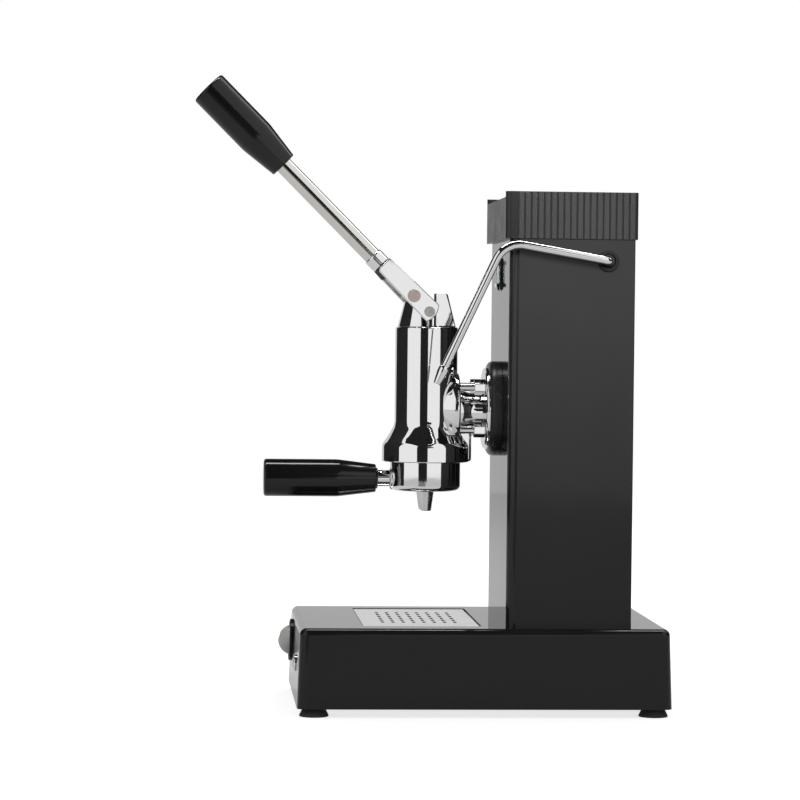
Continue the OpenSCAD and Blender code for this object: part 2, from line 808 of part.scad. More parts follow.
module steam_knob() color("black") difference() {
    union() {
        bar_x(knob_r, knob_x - knob_l + 3, knob_x - 3, wand_y, wand_z);
        bar_x(knob_r - 3, knob_x - knob_l, knob_x - knob_l + 3 + eps, wand_y, wand_z);
        bar_x(knob_r - 8, knob_x - 3 - eps, knob_x, wand_y, wand_z);
    }
    bar_x(spindle_r + fit, knob_x - spindle_out, knob_x + 1, wand_y, wand_z);
    for (a = [0:45:315]) translate([0, wand_y, wand_z]) rotate([a, 0, 0]) {
        bar_x(4, knob_x - knob_l - 1, knob_x - 3 + eps, 0, knob_r + 2);
    }
}

module wand_grommet() color("black") difference() {
    union() {
        bar_x(grommet_r, side_x, side_x + 3, wand_y, wand_z);
        bar_x(grommet_r - 1.6, side_x - sheet, side_x + eps, wand_y, wand_z);
    }
    bar_x(ball_r + fit, side_x - sheet - 1, side_x + 2.4, wand_y, wand_z);
    bar_x(ball_r - 0.4, side_x, side_x + 4, wand_y, wand_z);
}

module wand_ball() color("silver") translate([side_x, wand_y, wand_z]) rotate([0, 90, 0]) {
    rotate_extrude() difference() {
        circle(r = ball_r);
        translate([-2 * ball_r, -ball_r]) square([2 * ball_r, 2 * ball_r]);
        translate([-eps, 0]) square([wand_r + fit + eps, 2 * ball_r]);
        translate([0, wand_off - wand_elbow - loose]) square(2 * ball_r);
    }
}

// Moves a child to the wand elbow, with -Y running along the upper leg
module on_wand() {
    translate([wand_x, wand_y, wand_z]) rotate([-wand_rise, 0, 0]) children();
}

// Moves a child on to the end of the bend, with -Y running along the lower leg
module past_bend() {
    translate([0, -wand_leg + wand_tan, -wand_bend]) rotate([wand_turn, 0, 0]) {
        translate([0, 0, wand_bend]) children();
    }
}

// A quarter or part ring of tube about +Z, starting on the X axis
module tube_bend(mid_r, turn) {
    rotate_extrude(angle = turn) translate([mid_r, 0]) circle(r = wand_r + fit);
}

module wand_tube() color("silver") {
    bar_x(wand_r, side_x, wand_x - wand_elbow + eps, wand_y, wand_z);
    on_wand() {
        translate([-wand_elbow, -wand_elbow, 0]) tube_bend(wand_elbow, 90);
        bar_y(wand_r, -wand_leg + wand_tan - eps, -wand_elbow + eps);
        translate([0, -wand_leg + wand_tan, -wand_bend]) rotate([0, -90, 0]) rotate([0, 0, -wand_turn]) {
            tube_bend(wand_bend, wand_turn);
        }
        past_bend() bar_y(wand_r, -wand_end, eps);
    }
}

module wand_nozzle() color("silver") on_wand() past_bend() {
    translate([0, -wand_end, 0]) rotate([90, 0, 0]) difference() {
        union() {
            cylinder(r = wand_r + 0.9, h = 5);
            translate([0, 0, 5 - eps]) cylinder(r1 = wand_r + 0.9, r2 = wand_r - 0.7, h = 10);
        }
        translate([0, 0, 4]) cylinder(r = 1.1, h = 20);
    }
}

module flange_disc() color("black") difference() {
    bar_y(disc_r, tower_front - disc_t, tower_front, 0, flange_z);
    flange_holes();
}

// Neck and bolt holes shared by the flange pieces
module flange_holes() {
    bar_y(port_r, neck_reach - 1, tower_front + 1, 0, port_z);
    for (p = BOLTS) bar_y(bolt_r + loose, neck_reach - 1, tower_front + 1, p.x, p.y);
}

module group_flange() color("silver") difference() {
    bar_y(flange_r, neck_reach, neck_reach + flange_t, 0, flange_z);
    flange_holes();
}

module flange_bolts() color("silver") for (p = BOLTS) bar_y(bolt_r, pad_y, bolt_in, p.x, p.y);

module flange_nuts() color("silver") for (p = BOLTS) {
    translate([p.x, neck_reach - nut_t, p.y]) rotate([-90, 0, 0]) difference() {
        cylinder(r = nut_r, h = nut_t, $fn = 6);
        translate([0, 0, -1]) cylinder(r = bolt_r + fit, h = nut_t + 2);
    }
}

// Outer casting of the group, still solid
module group_casting() {
    rotate_extrude() polygon([
        [0, bell_z], [bell_r, bell_z], [bell_r, flare_z - 1.5], [bell_r - 1.5, flare_z],
        [barrel_r + 3.2, barrel_z - 6], [barrel_r, barrel_z], [barrel_r, barrel_top - 1.2],
        [barrel_r - 0.6, barrel_top - 0.35], [barrel_r - 1.4, barrel_top], [0, barrel_top]
    ]);
    bar_y(neck_r, 0, neck_reach, 0, neck_z);
    translate([0, 8, flange_z]) rotate([-90, 0, 0]) {
        cylinder(r1 = pad_r - 9, r2 = pad_r, h = pad_y - pad_t - 8 + eps);
    }
    bar_y(pad_r, pad_y - pad_t, pad_y, 0, flange_z);
    box([-9, 0, bell_z], [9, bell_r + 1.3, neck_z - 10]);
}

module group_body() color("silver") {
    difference() {
        group_casting();
        post(cavity_r, bell_z - 1, flare_z);
        post(bore_r, flare_z - 1, barrel_top + 1);
        bar_y(port_r, 0, neck_reach + 1, 0, port_z);
    }
    for (a = [0, 180]) rotate([0, 0, a - unlock + lug_arc / 2 + 2]) translate([0, 0, bell_z]) {
        rotate_extrude(angle = 176 - lug_arc) {
            translate([bayonet_r, 0]) square([bell_r - 1 - bayonet_r, bayonet_h]);
        }
    }
}

module hood() color("silver") difference() {
    union() {
        post(bore_r - fit, spigot_z, barrel_top);
        translate([0, 0, barrel_top - eps]) cylinder(r1 = hood_r, r2 = hood_top_r, h = hood_h);
    }
    post(bush_r + fit, spigot_z - 1, barrel_top + 1);
    box([-50, -slot_w / 2, barrel_top], [50, slot_w / 2, hood_top + 5]);
    box([-50, -50, ledge_z], [50, -slot_w / 2 + eps, hood_top + 5]);
    for (s = [-1, 1]) translate([s * (horn_x + 25), 0, 0]) {
        box([-25, slot_w / 2 - eps, barrel_top + 1], [25, 50, hood_top + 5]);
    }
}

module rod_bush() color("gold") ring(bush_r, rod_r + fit, spigot_z, barrel_top);

module piston() color("silver") difference() {
    post(piston_r, piston_z, piston_top);
    for (z = SEALS) ring(piston_r + 1, seal_in, z, z + seal_h);
    post(rod_r + fit, piston_z + piston_web, piston_top + 1);
}

module piston_seals() color("dimgray") for (z = SEALS) ring(bore_r - fit, seal_in, z, z + seal_h);

module piston_rod() color("silver") difference() {
    union() {
        post(rod_r, piston_z + piston_web, rod_pin_z);
        bar_x(eye_r, -eye_half, eye_half, 0, rod_pin_z);
    }
    bar_x(pin_r + fit, -eye_half - 1, eye_half + 1, 0, rod_pin_z);
}

// Coil spring as one swept tube
module main_spring() color("gray") polyhedron(points = spring_points, faces = spring_faces);

module group_gasket() color("dimgray") ring(cavity_r - 0.3, screen_r + 0.4, gasket_z, flare_z);

module shower_screen() color("silver") difference() {
    post(screen_r, flare_z - screen_t, flare_z);
    for (i = [-4:4], j = [-4:4]) {
        if (norm([i, j]) < 4.4) post(0.8, flare_z - 2, flare_z + 1, i * 4.4, j * 4.4);
    }
}

// Moves a child to the rod pin, with -Y running along the lever
module on_lever() {
    translate([0, 0, rod_pin_z]) rotate([-lever_tilt, 0, 0]) children();
}

// A headed pin across the yoke
module cross_pin(r, head_r, y) {
    bar_x(r, -yoke_out - eps, yoke_out + eps, y, 0);
    bar_x(head_r, -yoke_out - head_t, -yoke_out, y, 0);
    bar_x(head_r, yoke_out, yoke_out + head_t, y, 0);
}

module fulcrum_pin() color("peru") on_lever() cross_pin(fulcrum_r, fulcrum_r + 1.15, -pin_gap);

module rod_pin() color("silver") on_lever() cross_pin(pin_r, pin_r + 1, 0);

// Side outline of one cheek, with y along the lever and z across it
module cheek_outline() {
    polygon([[0, -cheek_r], [0, cheek_r], [-yoke_l, cheek_r - 2.2], [-yoke_l, -cheek_r + 3.4]]);
    circle(r = cheek_r);
}

module lever_yoke() color("silver") on_lever() difference() {
    union() {
        for (s = [-1, 1]) translate([s * (yoke_in + cheek_t / 2), 0, 0]) rotate([90, 0, 90]) {
            linear_extrude(height = cheek_t, center = true) cheek_outline();
        }
        intersection() {
            rotate([90, 0, 90]) linear_extrude(height = 2 * yoke_out - 1, center = true) cheek_outline();
            box([-yoke_out, -yoke_l, -cheek_r], [yoke_out, -yoke_l + bridge_t, cheek_r]);
        }
    }
    bar_x(fulcrum_r + fit, -yoke_out - 1, yoke_out + 1, -pin_gap, 0);
    bar_x(pin_r + fit, -yoke_out - 1, yoke_out + 1, 0, 0);
    bar_y(stud_r + fit, -yoke_l - 1, -yoke_l + bridge_t + 1);
}

module lever_collar() color("silver") on_lever() difference() {
    bar_y(ferrule_r, -lever_a, -yoke_l);
    bar_y(stud_r + fit, -lever_a - 1, -yoke_l + 1);
}

module lever_rod() color("silver") on_lever() {
    bar_y(stud_r, -lever_a - eps, -yoke_l + bridge_t - 1);
    bar_y(lever_r, -lever_b, -lever_a);
    bar_y(tang_r, -lever_b - tang_l, -lever_b + eps);
}

// One moulded grip standing on Z = 0, with a blind hole for the tang
module grip(length) {
    e = 3;
    difference() {
        rotate_extrude() {
            polygon([
                [0, 0], [grip_neck_r - 1, 0], [grip_neck_r, 1], [grip_r, grip_taper],
                [grip_r, length - e], [grip_r - e, length], [0, length]
            ]);
            translate([grip_r - e, length - e]) circle(r = e);
        }
        translate([0, 0, -1]) cylinder(r = tang_r + fit, h = tang_l + 2);
    }
}

module lever_grip() color("black") on_lever() translate([0, -lever_b, 0]) rotate([90, 0, 0]) grip(grip_l);

module holder_body() color("silver") difference() {
    e = 4;
    union() {
        rotate_extrude() {
            polygon([
                [0, holder_z], [holder_r - e, holder_z], [holder_r, holder_z + e],
                [holder_r, rim_z - 3], [rim_r, rim_z - 3], [rim_r, rim_z], [0, rim_z]
            ]);
            translate([holder_r - e, holder_z + e]) circle(r = e);
        }
        for (a = [0, 180]) rotate([0, 0, a - lug_arc / 2]) translate([0, 0, lug_z]) {
            rotate_extrude(angle = lug_arc) translate([20, 0]) square([lug_r - 20, lug_h]);
        }
        bar_y(boss_r, -boss_y, -20, 0, handle_z);
    }
    post(basket_r + 0.4, holder_floor, rim_z + 1);
    post(4.5 + fit, holder_z - 1, holder_floor + 1);
    bar_y(tang_r + fit, -boss_y - 1, -basket_r - 1.4, 0, handle_z);
}

module filter_basket() color("silver") difference() {
    union() {
        post(basket_r, rim_z - basket_h, rim_z + eps);
        post(rim_r, rim_z, rim_z + rim_t);
    }
    post(basket_r - 0.8, rim_z - basket_h + 0.8, rim_z + rim_t + 1);
    for (i = [-4:4], j = [-4:4]) {
        if (norm([i, j]) < 4.4) post(0.6, rim_z - basket_h - 1, rim_z - basket_h + 2, i * 4.6, j * 4.6);
    }
}

module holder_stem() color("silver") {
    bar_y(stem_r, -grip_y, -boss_y, 0, handle_z);
    bar_y(tang_r, -grip_y - tang_l, -basket_r - 2, 0, handle_z);
}

module holder_grip() color("black") translate([0, -grip_y, handle_z]) rotate([90, 0, 0]) grip(holder_grip_l);

module spout() color("silver") difference() {
    union() {
        translate([0, 0, holder_z - spout_l]) cylinder(r1 = spout_r - 2.2, r2 = spout_r, h = spout_l);
        post(4.5, holder_z - eps, holder_floor);
    }
    post(2.8, holder_z - spout_l - 1, holder_floor + 1);
    translate([0, -2.5, holder_z - spout_l]) rotate([-32, 0, 0]) box([-20, -30, -20], [20, 0, 0]);
}

base_shell();
base_deck();
base_floor();
tray_well();
rubber_feet();
foot_screws();
drip_tray();
drip_grid();
switch_bezel();
switch_rocker();
lamp_ring();
lamp_lens();
cord_gland();
tower_shell();
tower_back();
back_screws();
top_collar();
cup_plate();
window_frame();
sight_glass();
sight_fittings();
boiler_body();
heating_element();
filler_cap();
safety_valve();
pressure_switch();
steam_manifold();
steam_spindle();
steam_knob();
wand_grommet();
wand_ball();
wand_tube();
wand_nozzle();
flange_disc();
group_flange();
flange_bolts();
flange_nuts();
group_body();
hood();
rod_bush();
piston();
piston_seals();
piston_rod();
main_spring();
group_gasket();
shower_screen();
fulcrum_pin();
rod_pin();
lever_yoke();
lever_collar();
lever_rod();
lever_grip();
holder_body();
filter_basket();
holder_stem();
holder_grip();
spout();
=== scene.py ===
"""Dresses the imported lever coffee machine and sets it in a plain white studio."""

import json
import logging
import math
from dataclasses import dataclass, field
from enum import Enum
from typing import Callable, Iterable, Sequence

import bmesh
import bpy
from mathutils import Matrix, Vector


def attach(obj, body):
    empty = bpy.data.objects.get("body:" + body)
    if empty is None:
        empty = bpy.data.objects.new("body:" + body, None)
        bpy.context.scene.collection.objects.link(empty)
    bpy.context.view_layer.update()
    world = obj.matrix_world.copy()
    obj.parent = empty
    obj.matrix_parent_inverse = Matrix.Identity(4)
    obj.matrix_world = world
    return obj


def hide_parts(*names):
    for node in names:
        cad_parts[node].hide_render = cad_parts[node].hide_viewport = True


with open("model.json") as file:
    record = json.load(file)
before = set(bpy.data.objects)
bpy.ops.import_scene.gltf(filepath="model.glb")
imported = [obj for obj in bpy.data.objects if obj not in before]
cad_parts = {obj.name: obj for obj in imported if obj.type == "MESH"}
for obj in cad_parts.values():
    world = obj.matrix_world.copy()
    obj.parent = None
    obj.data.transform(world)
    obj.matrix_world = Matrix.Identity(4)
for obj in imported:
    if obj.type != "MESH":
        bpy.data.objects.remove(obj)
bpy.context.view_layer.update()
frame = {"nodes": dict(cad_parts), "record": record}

LOG = logging.getLogger("lever_machine")
MM = 0.001
SMOOTH_ANGLE = math.radians(32)

# Sizes that all pieces share, in millimetres: faces round a turned piece, width below which a
# round takes fewer faces, distances for merging and finding points, clearance of a pin in its
# hole, and heights that a finger flute runs between.
STEPS = 96
FINE_ROUND = 2.0
MERGE = 1e-4
NEAR = 1e-3
FIT = 0.05
FLUTE_Z = (2, 30)

Mesh = bmesh.types.BMesh
Face = bmesh.types.BMFace
Edges = list[bmesh.types.BMEdge]
Pair = tuple[float, float]
Point = tuple[float, float, float]
Box = tuple[Point, Point]
Profile = Sequence[Point]

ORIGIN: Point = (0, 0, 0)
RIGHT, LEFT = (1, 0, 0), (-1, 0, 0)
REAR, FORE = (0, 1, 0), (0, -1, 0)
UP = (0, 0, 1)
WHITE = (1, 1, 1, 1)


class Body(Enum):
    """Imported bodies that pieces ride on."""

    FRAME = "frame"
    GRID = "drip_grid"
    CAP = "filler_cap"
    STEAM = "steam_handle"
    WAND = "wand"
    LEVER = "lever"
    HOLDER = "filter_holder"


class Cut(Enum):
    """Ways of joining two solids."""

    ADD = "UNION"
    TAKE = "DIFFERENCE"


# Shared shader effects

NUMBER, VECTOR, SHADE = "NodeSocketFloat", "NodeSocketVector", "NodeSocketColor"
NOISE_LOW, NOISE_HIGH = 0.32, 0.68
DRIFT_SCALE = 1.7
COAT_ROUGH = 0.03


def put(node: bpy.types.Node, values: dict[str, object]) -> None:
    """Sets inputs of a node by their names."""
    for key, value in values.items():
        node.inputs[key].default_value = value


def effect_group(name: str, inputs: dict[str, str], output: str, kind: str) -> bpy.types.NodeTree:
    """Makes an empty shader node group with named sockets.

    Args:
        name: Name of the group.
        inputs: Types of the inputs, by their names.
        output: Name of the one output.
        kind: Type of the output.

    Returns:
        The group, with its input and output nodes in place.
    """
    group = bpy.data.node_groups.new(name, "ShaderNodeTree")
    for label, socket in inputs.items():
        group.interface.new_socket(label, in_out="INPUT", socket_type=socket)
    group.interface.new_socket(output, in_out="OUTPUT", socket_type=kind)
    group.nodes.new("NodeGroupInput").name = "in"
    group.nodes.new("NodeGroupOutput").name = "out"
    return group


def noise_in(group: bpy.types.NodeTree, detail: float, stretched: bool = False) -> bpy.types.NodeSocket:
    """Adds noise over the object's own coordinates to an effect group.

    Args:
        group: The effect group, which has an input named Scale.
        detail: Detail of the noise.
        stretched: True if the group's input named Stretch pulls the coordinates.

    Returns:
        The socket with the noise.
    """
    node, link = group.nodes, group.links.new
    place = node.new("ShaderNodeTexCoord").outputs["Object"]
    noise = node.new("ShaderNodeTexNoise")
    noise.inputs["Detail"].default_value = detail
    if stretched:
        pull = node.new("ShaderNodeVectorMath")
        pull.operation = "MULTIPLY"
        link(place, pull.inputs[0])
        link(node["in"].outputs["Stretch"], pull.inputs[1])
        place = pull.outputs["Vector"]
    link(place, noise.inputs["Vector"])
    link(node["in"].outputs["Scale"], noise.inputs["Scale"])
    return noise.outputs["Fac"]


def drift_group() -> bpy.types.NodeTree:
    """Makes the group that drifts a value slowly over a surface.

    Returns:
        The group, with inputs for its scale and for the lowest and highest value.
    """
    group = effect_group("slow_drift", {"Scale": NUMBER, "Low": NUMBER, "High": NUMBER}, "Value", NUMBER)
    node, link = group.nodes, group.links.new
    spread = node.new("ShaderNodeMapRange")
    put(spread, {"From Min": NOISE_LOW, "From Max": NOISE_HIGH})
    link(noise_in(group, 5), spread.inputs["Value"])
    link(node["in"].outputs["Low"], spread.inputs["To Min"])
    link(node["in"].outputs["High"], spread.inputs["To Max"])
    link(spread.outputs["Result"], node["out"].inputs["Value"])
    return group


def grain_group() -> bpy.types.NodeTree:
    """Makes the group for fine grain, which a stretch turns into brushed lines.

    Returns:
        The group, with inputs for its stretch and its scale.
    """
    group = effect_group("fine_grain", {"Stretch": VECTOR, "Scale": NUMBER}, "Height", NUMBER)
    group.links.new(noise_in(group, 3, True), group.nodes["out"].inputs["Height"])
    return group


def tint_group() -> bpy.types.NodeTree:
    """Makes the group that mixes two shades of a colour in soft patches.

    Returns:
        The group, with inputs for the two shades and its scale.
    """
    group = effect_group("soft_tint", {"Main": SHADE, "Other": SHADE, "Scale": NUMBER}, "Color", SHADE)
    node, link = group.nodes, group.links.new
    mix = node.new("ShaderNodeMix")
    mix.data_type = "RGBA"
    link(noise_in(group, 4), mix.inputs["Factor"])
    link(node["in"].outputs["Main"], mix.inputs["A"])
    link(node["in"].outputs["Other"], mix.inputs["B"])
    link(mix.outputs["Result"], node["out"].inputs["Color"])
    return group


DRIFT = drift_group()
GRAIN = grain_group()
TINT = tint_group()


@dataclass(frozen=True)
class Finish:
    """One surface finish.

    Attributes:
        name: Name of the material.
        main: Main colour, linear.
        other: Second shade that the main colour drifts to.
        metallic: Share of metal.
        rough: Lowest and highest roughness.
        grain: Scale of the fine grain, per metre.
        stretch: Pull on the grain along X, Y and Z; a small number draws lines along that axis.
        bump: Strength of the grain.
        depth: Height of the grain, in metres.
        coat: Weight of a clear coat.
        glass: Weight of transmission.
        specular: Specular level.
        patch: Scale of the soft patches, per metre.
    """

    name: str
    main: Point
    other: Point
    metallic: float = 0.0
    rough: Pair = (0.3, 0.4)
    grain: float = 900.0
    stretch: Point = (1.0, 1.0, 1.0)
    bump: float = 0.05
    depth: float = 0.0001
    coat: float = 0.0
    glass: float = 0.0
    specular: float = 0.5
    patch: float = 25.0

    def material(self) -> bpy.types.Material:
        """Makes the finish's material, unless it is made already.

        Returns:
            The material.
        """
        made = bpy.data.materials.get(self.name)
        if made:
            return made
        made = bpy.data.materials.new(self.name)
        made.use_nodes = True
        made.diffuse_color = (*self.main, 1.0)
        tree = made.node_tree
        shader = tree.nodes["Principled BSDF"]
        put(shader, {
            "Metallic": self.metallic, "Coat Weight": self.coat, "Coat Roughness": COAT_ROUGH,
            "Transmission Weight": self.glass, "Specular IOR Level": self.specular,
        })
        shades = {"Main": (*self.main, 1.0), "Other": (*self.other, 1.0), "Scale": self.patch}
        spread = {"Scale": self.patch * DRIFT_SCALE, "Low": self.rough[0], "High": self.rough[1]}
        tint = self.effect(tree, TINT, shades)
        drift = self.effect(tree, DRIFT, spread)
        grain = self.effect(tree, GRAIN, {"Stretch": self.stretch, "Scale": self.grain})
        bump = tree.nodes.new("ShaderNodeBump")
        put(bump, {"Strength": self.bump, "Distance": self.depth})
        tree.links.new(tint.outputs["Color"], shader.inputs["Base Color"])
        tree.links.new(drift.outputs["Value"], shader.inputs["Roughness"])
        tree.links.new(grain.outputs["Height"], bump.inputs["Height"])
        tree.links.new(bump.outputs["Normal"], shader.inputs["Normal"])
        return made

    @staticmethod
    def effect(
        tree: bpy.types.NodeTree, group: bpy.types.NodeTree, values: dict[str, object],
    ) -> bpy.types.Node:
        """Places an effect group in a material.

        Args:
            tree: Node tree of the material.
            group: The effect group.
            values: Values of the group's inputs, by their names.

        Returns:
            The new group node.
        """
        node = tree.nodes.new("ShaderNodeGroup")
        node.node_tree = group
        put(node, values)
        return node


ENAMEL = Finish(
    "black_enamel", (0.0085, 0.0085, 0.009), (0.0105, 0.0105, 0.011),
    rough=(0.05, 0.08), grain=420, bump=0.03, depth=0.0002, specular=0.27)
SATIN = Finish(
    "satin_black", (0.013, 0.013, 0.0135), (0.018, 0.018, 0.0185),
    rough=(0.26, 0.36), grain=2600, bump=0.12, specular=0.36)
BLACK_TRIM = Finish(
    "black_trim", (0.006, 0.006, 0.0063), (0.009, 0.009, 0.009),
    rough=(0.2, 0.3), grain=1800, bump=0.06, specular=0.2)
BAKELITE = Finish(
    "black_bakelite", (0.004, 0.004, 0.004), (0.006, 0.006, 0.006),
    rough=(0.07, 0.13), grain=300, bump=0.03, depth=0.0002, specular=0.33)
RUBBER = Finish(
    "black_rubber", (0.014, 0.014, 0.014), (0.022, 0.022, 0.022),
    rough=(0.55, 0.75), grain=1500, bump=0.2)
DULL_RUBBER = Finish(
    "dull_rubber", (0.007, 0.007, 0.007), (0.011, 0.011, 0.011),
    rough=(0.5, 0.65), grain=1500, bump=0.2, specular=0.12)
CHROME = Finish(
    "polished_chrome", (0.80, 0.80, 0.81), (0.77, 0.77, 0.78), 1.0,
    rough=(0.02, 0.045), grain=240, bump=0.012, depth=0.0002)
POLISHED = Finish(
    "polished_steel", (0.74, 0.73, 0.71), (0.70, 0.69, 0.67), 1.0,
    rough=(0.09, 0.16), grain=1400, bump=0.04)
ROD_STEEL = Finish(
    "drawn_rod", (0.72, 0.71, 0.68), (0.67, 0.66, 0.63), 1.0,
    rough=(0.05, 0.1), grain=1800, patch=60, bump=0.006)
SHEET_STEEL = Finish(
    "satin_sheet", (0.70, 0.70, 0.69), (0.64, 0.64, 0.63), 1.0,
    rough=(0.26, 0.36), grain=2400, stretch=(0.03, 1, 1), bump=0.1)
COVER_STEEL = Finish(
    "cover_steel", (0.86, 0.86, 0.85), (0.80, 0.80, 0.79), 1.0,
    rough=(0.12, 0.2), grain=2400, stretch=(0.03, 1, 1), bump=0.05)
# Painted shade: a near-black, matte finish laid on hollows and hidden faces (the wand's ball joint, the
# yoke's bridge, the hood's slot walls) so they read as shadowed.
PAINTED_SHADE_BLACK = Finish(
    "painted_shade_black", (0.012, 0.012, 0.012), (0.02, 0.02, 0.02),
    rough=(0.6, 0.75), grain=1500, bump=0.2, specular=0.1)
CAST_STEEL = Finish(
    "cast_steel", (0.76, 0.77, 0.76), (0.58, 0.59, 0.58), 1.0,
    rough=(0.2, 0.34), grain=700, patch=160, bump=0.3, depth=0.0004)
PLAIN_STEEL = Finish(
    "plain_steel", (0.55, 0.55, 0.55), (0.48, 0.48, 0.48), 1.0, rough=(0.3, 0.42), bump=0.08)
ZINC = Finish(
    "zinc_plate", (0.55, 0.56, 0.57), (0.47, 0.48, 0.5), 1.0, rough=(0.35, 0.5), bump=0.08, patch=60)
BRASS = Finish(
    "plain_brass", (0.66, 0.46, 0.19), (0.58, 0.39, 0.16), 1.0, rough=(0.25, 0.38), bump=0.06)
BRONZE = Finish(
    "sheared_bronze", (0.86, 0.74, 0.68), (0.68, 0.56, 0.50), 1.0,
    rough=(0.34, 0.55), grain=2600, stretch=(1, 0.4, 1), bump=0.5, depth=0.0004)
PIN_STEEL = Finish(
    "sheared_steel", (0.78, 0.76, 0.73), (0.58, 0.56, 0.53), 1.0,
    rough=(0.34, 0.55), grain=2600, stretch=(1, 0.4, 1), bump=0.5, depth=0.0004)
ROCKER_GREY = Finish(
    "rocker_grey", (0.38, 0.39, 0.37), (0.34, 0.35, 0.33), rough=(0.16, 0.24), grain=700, bump=0.02)
CLEAR_LENS = Finish(
    "clear_lens", (0.42, 0.43, 0.42), (0.36, 0.37, 0.36),
    rough=(0.05, 0.1), grain=700, bump=0.02, coat=0.6)
GLASS = Finish(
    "clear_glass", (0.92, 0.96, 0.97), (0.88, 0.93, 0.94),
    rough=(0.0, 0.02), grain=300, bump=0.0, glass=0.9)

SLOT_FINISH = {
    "black_paint": ENAMEL,
    "galvanised": ZINC,
    "rubber": RUBBER,
    "stainless": SHEET_STEEL,
    "black_plastic": BLACK_TRIM,
    "grey_plastic": ROCKER_GREY,
    "clear_lens": CLEAR_LENS,
    "chrome": CHROME,
    "brushed_steel": ROD_STEEL,
    "bakelite": BAKELITE,
    "glass": GLASS,
    "brass": BRASS,
    "bronze": BRONZE,
    "steel": PLAIN_STEEL,
}
# The wand's ball joint inside the grommet gets painted shade, so the hole around the tube reads dark.
NODE_FINISH = {"wand_ball": PAINTED_SHADE_BLACK}


# Shape tools, in millimetres


def edges_where(edges: Iterable[bmesh.types.BMEdge], test: Callable[[Vector], bool]) -> Edges:
    """Gives the edges whose ends both lie where a test says."""
    return [e for e in edges if all(test(v.co) for v in e.verts)]


def upright(bm: Mesh) -> Edges:
    """Gives the edges that climb by more than a millimetre."""
    return [e for e in bm.edges if abs(e.verts[0].co.z - e.verts[1].co.z) > 1]


def round_edges(bm: Mesh, edges: Iterable[bmesh.types.BMEdge], width: float, segments: int = 3) -> None:
    """Rounds edges of a mesh.

    Args:
        bm: Mesh to change.
        edges: Edges to round.
        width: Width of the round.
        segments: Faces across the round.
    """
    bmesh.ops.bevel(
        bm, geom=list(edges), offset=width, offset_type="OFFSET", segments=segments,
        profile=0.5, affect="EDGES", material=-1, clamp_overlap=True, loop_slide=True,
    )


def round_sharp(bm: Mesh, width: float, segments: int, above: float) -> None:
    """Rounds every edge that is sharper than an angle.

    Args:
        bm: Mesh to change.
        width: Width of the round.
        segments: Faces across the round.
        above: The angle, in degrees.
    """
    limit = math.radians(above)
    sharp = [e for e in bm.edges if len(e.link_faces) == 2 and e.calc_face_angle(0.0) > limit]
    round_edges(bm, sharp, width, segments)


def clean(bm: Mesh) -> Mesh:
    """Merges doubles and points the faces outwards.

    Args:
        bm: Mesh to change.

    Returns:
        The same mesh.
    """
    bmesh.ops.remove_doubles(bm, verts=bm.verts, dist=MERGE)
    bmesh.ops.recalc_face_normals(bm, faces=bm.faces)
    return bm


def block(low: Point, high: Point, width: float = 0.0, segments: int = 3) -> Mesh:
    """Makes a box between two corners.

    Args:
        low: Corner with the lowest X, Y and Z.
        high: Corner with the highest.
        width: Width of the round along all edges; 0 leaves them sharp.
        segments: Faces across the round.

    Returns:
        The box.
    """
    bm = bmesh.new()
    bmesh.ops.create_cube(bm, size=1.0)
    size = [b - a for a, b in zip(low, high)]
    middle = [(a + b) / 2 for a, b in zip(low, high)]
    bmesh.ops.scale(bm, vec=size, verts=bm.verts)
    bmesh.ops.translate(bm, vec=middle, verts=bm.verts)
    if width:
        round_edges(bm, bm.edges, width, segments)
    return bm


def turned(profile: Profile, steps: int = STEPS) -> Mesh:
    """Turns a profile about Z.

    Args:
        profile: Points of radius, height and corner round. One that starts off the axis makes a ring.
        steps: Faces around the axis.

    Returns:
        The turned mesh.
    """
    bm = bmesh.new()
    verts = [bm.verts.new((r, 0, h)) for r, h, _ in profile]
    ends = verts[1:] + verts[:1] if profile[0][0] else verts[1:]
    edges = [bm.edges.new(pair) for pair in zip(verts, ends)]
    bmesh.ops.spin(
        bm, geom=verts + edges, cent=ORIGIN, axis=UP, dvec=ORIGIN,
        angle=math.tau, steps=steps, use_merge=True, use_duplicate=False,
    )
    clean(bm)
    for r, h, width in profile:
        if width and r:
            ring = edges_where(bm.edges, lambda co: abs(co.z - h) < NEAR and abs(co.xy.length - r) < NEAR)
            round_edges(bm, ring, width, 4 if width < FINE_ROUND else 6)
    return bm


def plug(radius: float, low: float, high: float, steps: int = 48) -> Mesh:
    """Makes a round plug between two heights, mostly to bore holes with."""
    return turned([(0, low, 0), (radius, low, 0), (radius, high, 0), (0, high, 0)], steps)


def swing(bm: Mesh, face: Face, cent: Point, axis: Point, angle: float, steps: int) -> Face:
    """Swings a face about an axis into a bent bar.

    Args:
        bm: Mesh of the face.
        face: The face.
        cent: Point on the axis.
        axis: Direction of the axis.
        angle: Angle of the swing, in radians.
        steps: Faces along the bend.

    Returns:
        The face at the bar's far end.
    """
    last = bmesh.ops.spin(
        bm, geom=[face, *face.edges, *face.verts], cent=cent, axis=axis, dvec=ORIGIN,
        angle=angle, steps=steps, use_merge=False, use_duplicate=False,
    )["geom_last"]
    return next(part for part in last if isinstance(part, Face))


def move(bm: Mesh, matrix: Matrix) -> Mesh:
    """Moves a whole mesh by a matrix."""
    bmesh.ops.transform(bm, matrix=matrix, verts=bm.verts)
    return bm


def along(start: Point, towards: Point) -> Matrix:
    """Gives the matrix that takes +Z to a direction and the origin to a start."""
    turn = Vector(towards).to_track_quat("Z", "Y").to_matrix().to_4x4()
    return Matrix.Translation(start) @ turn


def filled(name: str, bm: Mesh) -> bpy.types.Mesh:
    """Makes a named mesh from a working one.

    Args:
        name: Name of the mesh.
        bm: The working mesh, which is freed.

    Returns:
        The named mesh.
    """
    mesh = bpy.data.meshes.new(name)
    bm.to_mesh(mesh)
    bm.free()
    return mesh


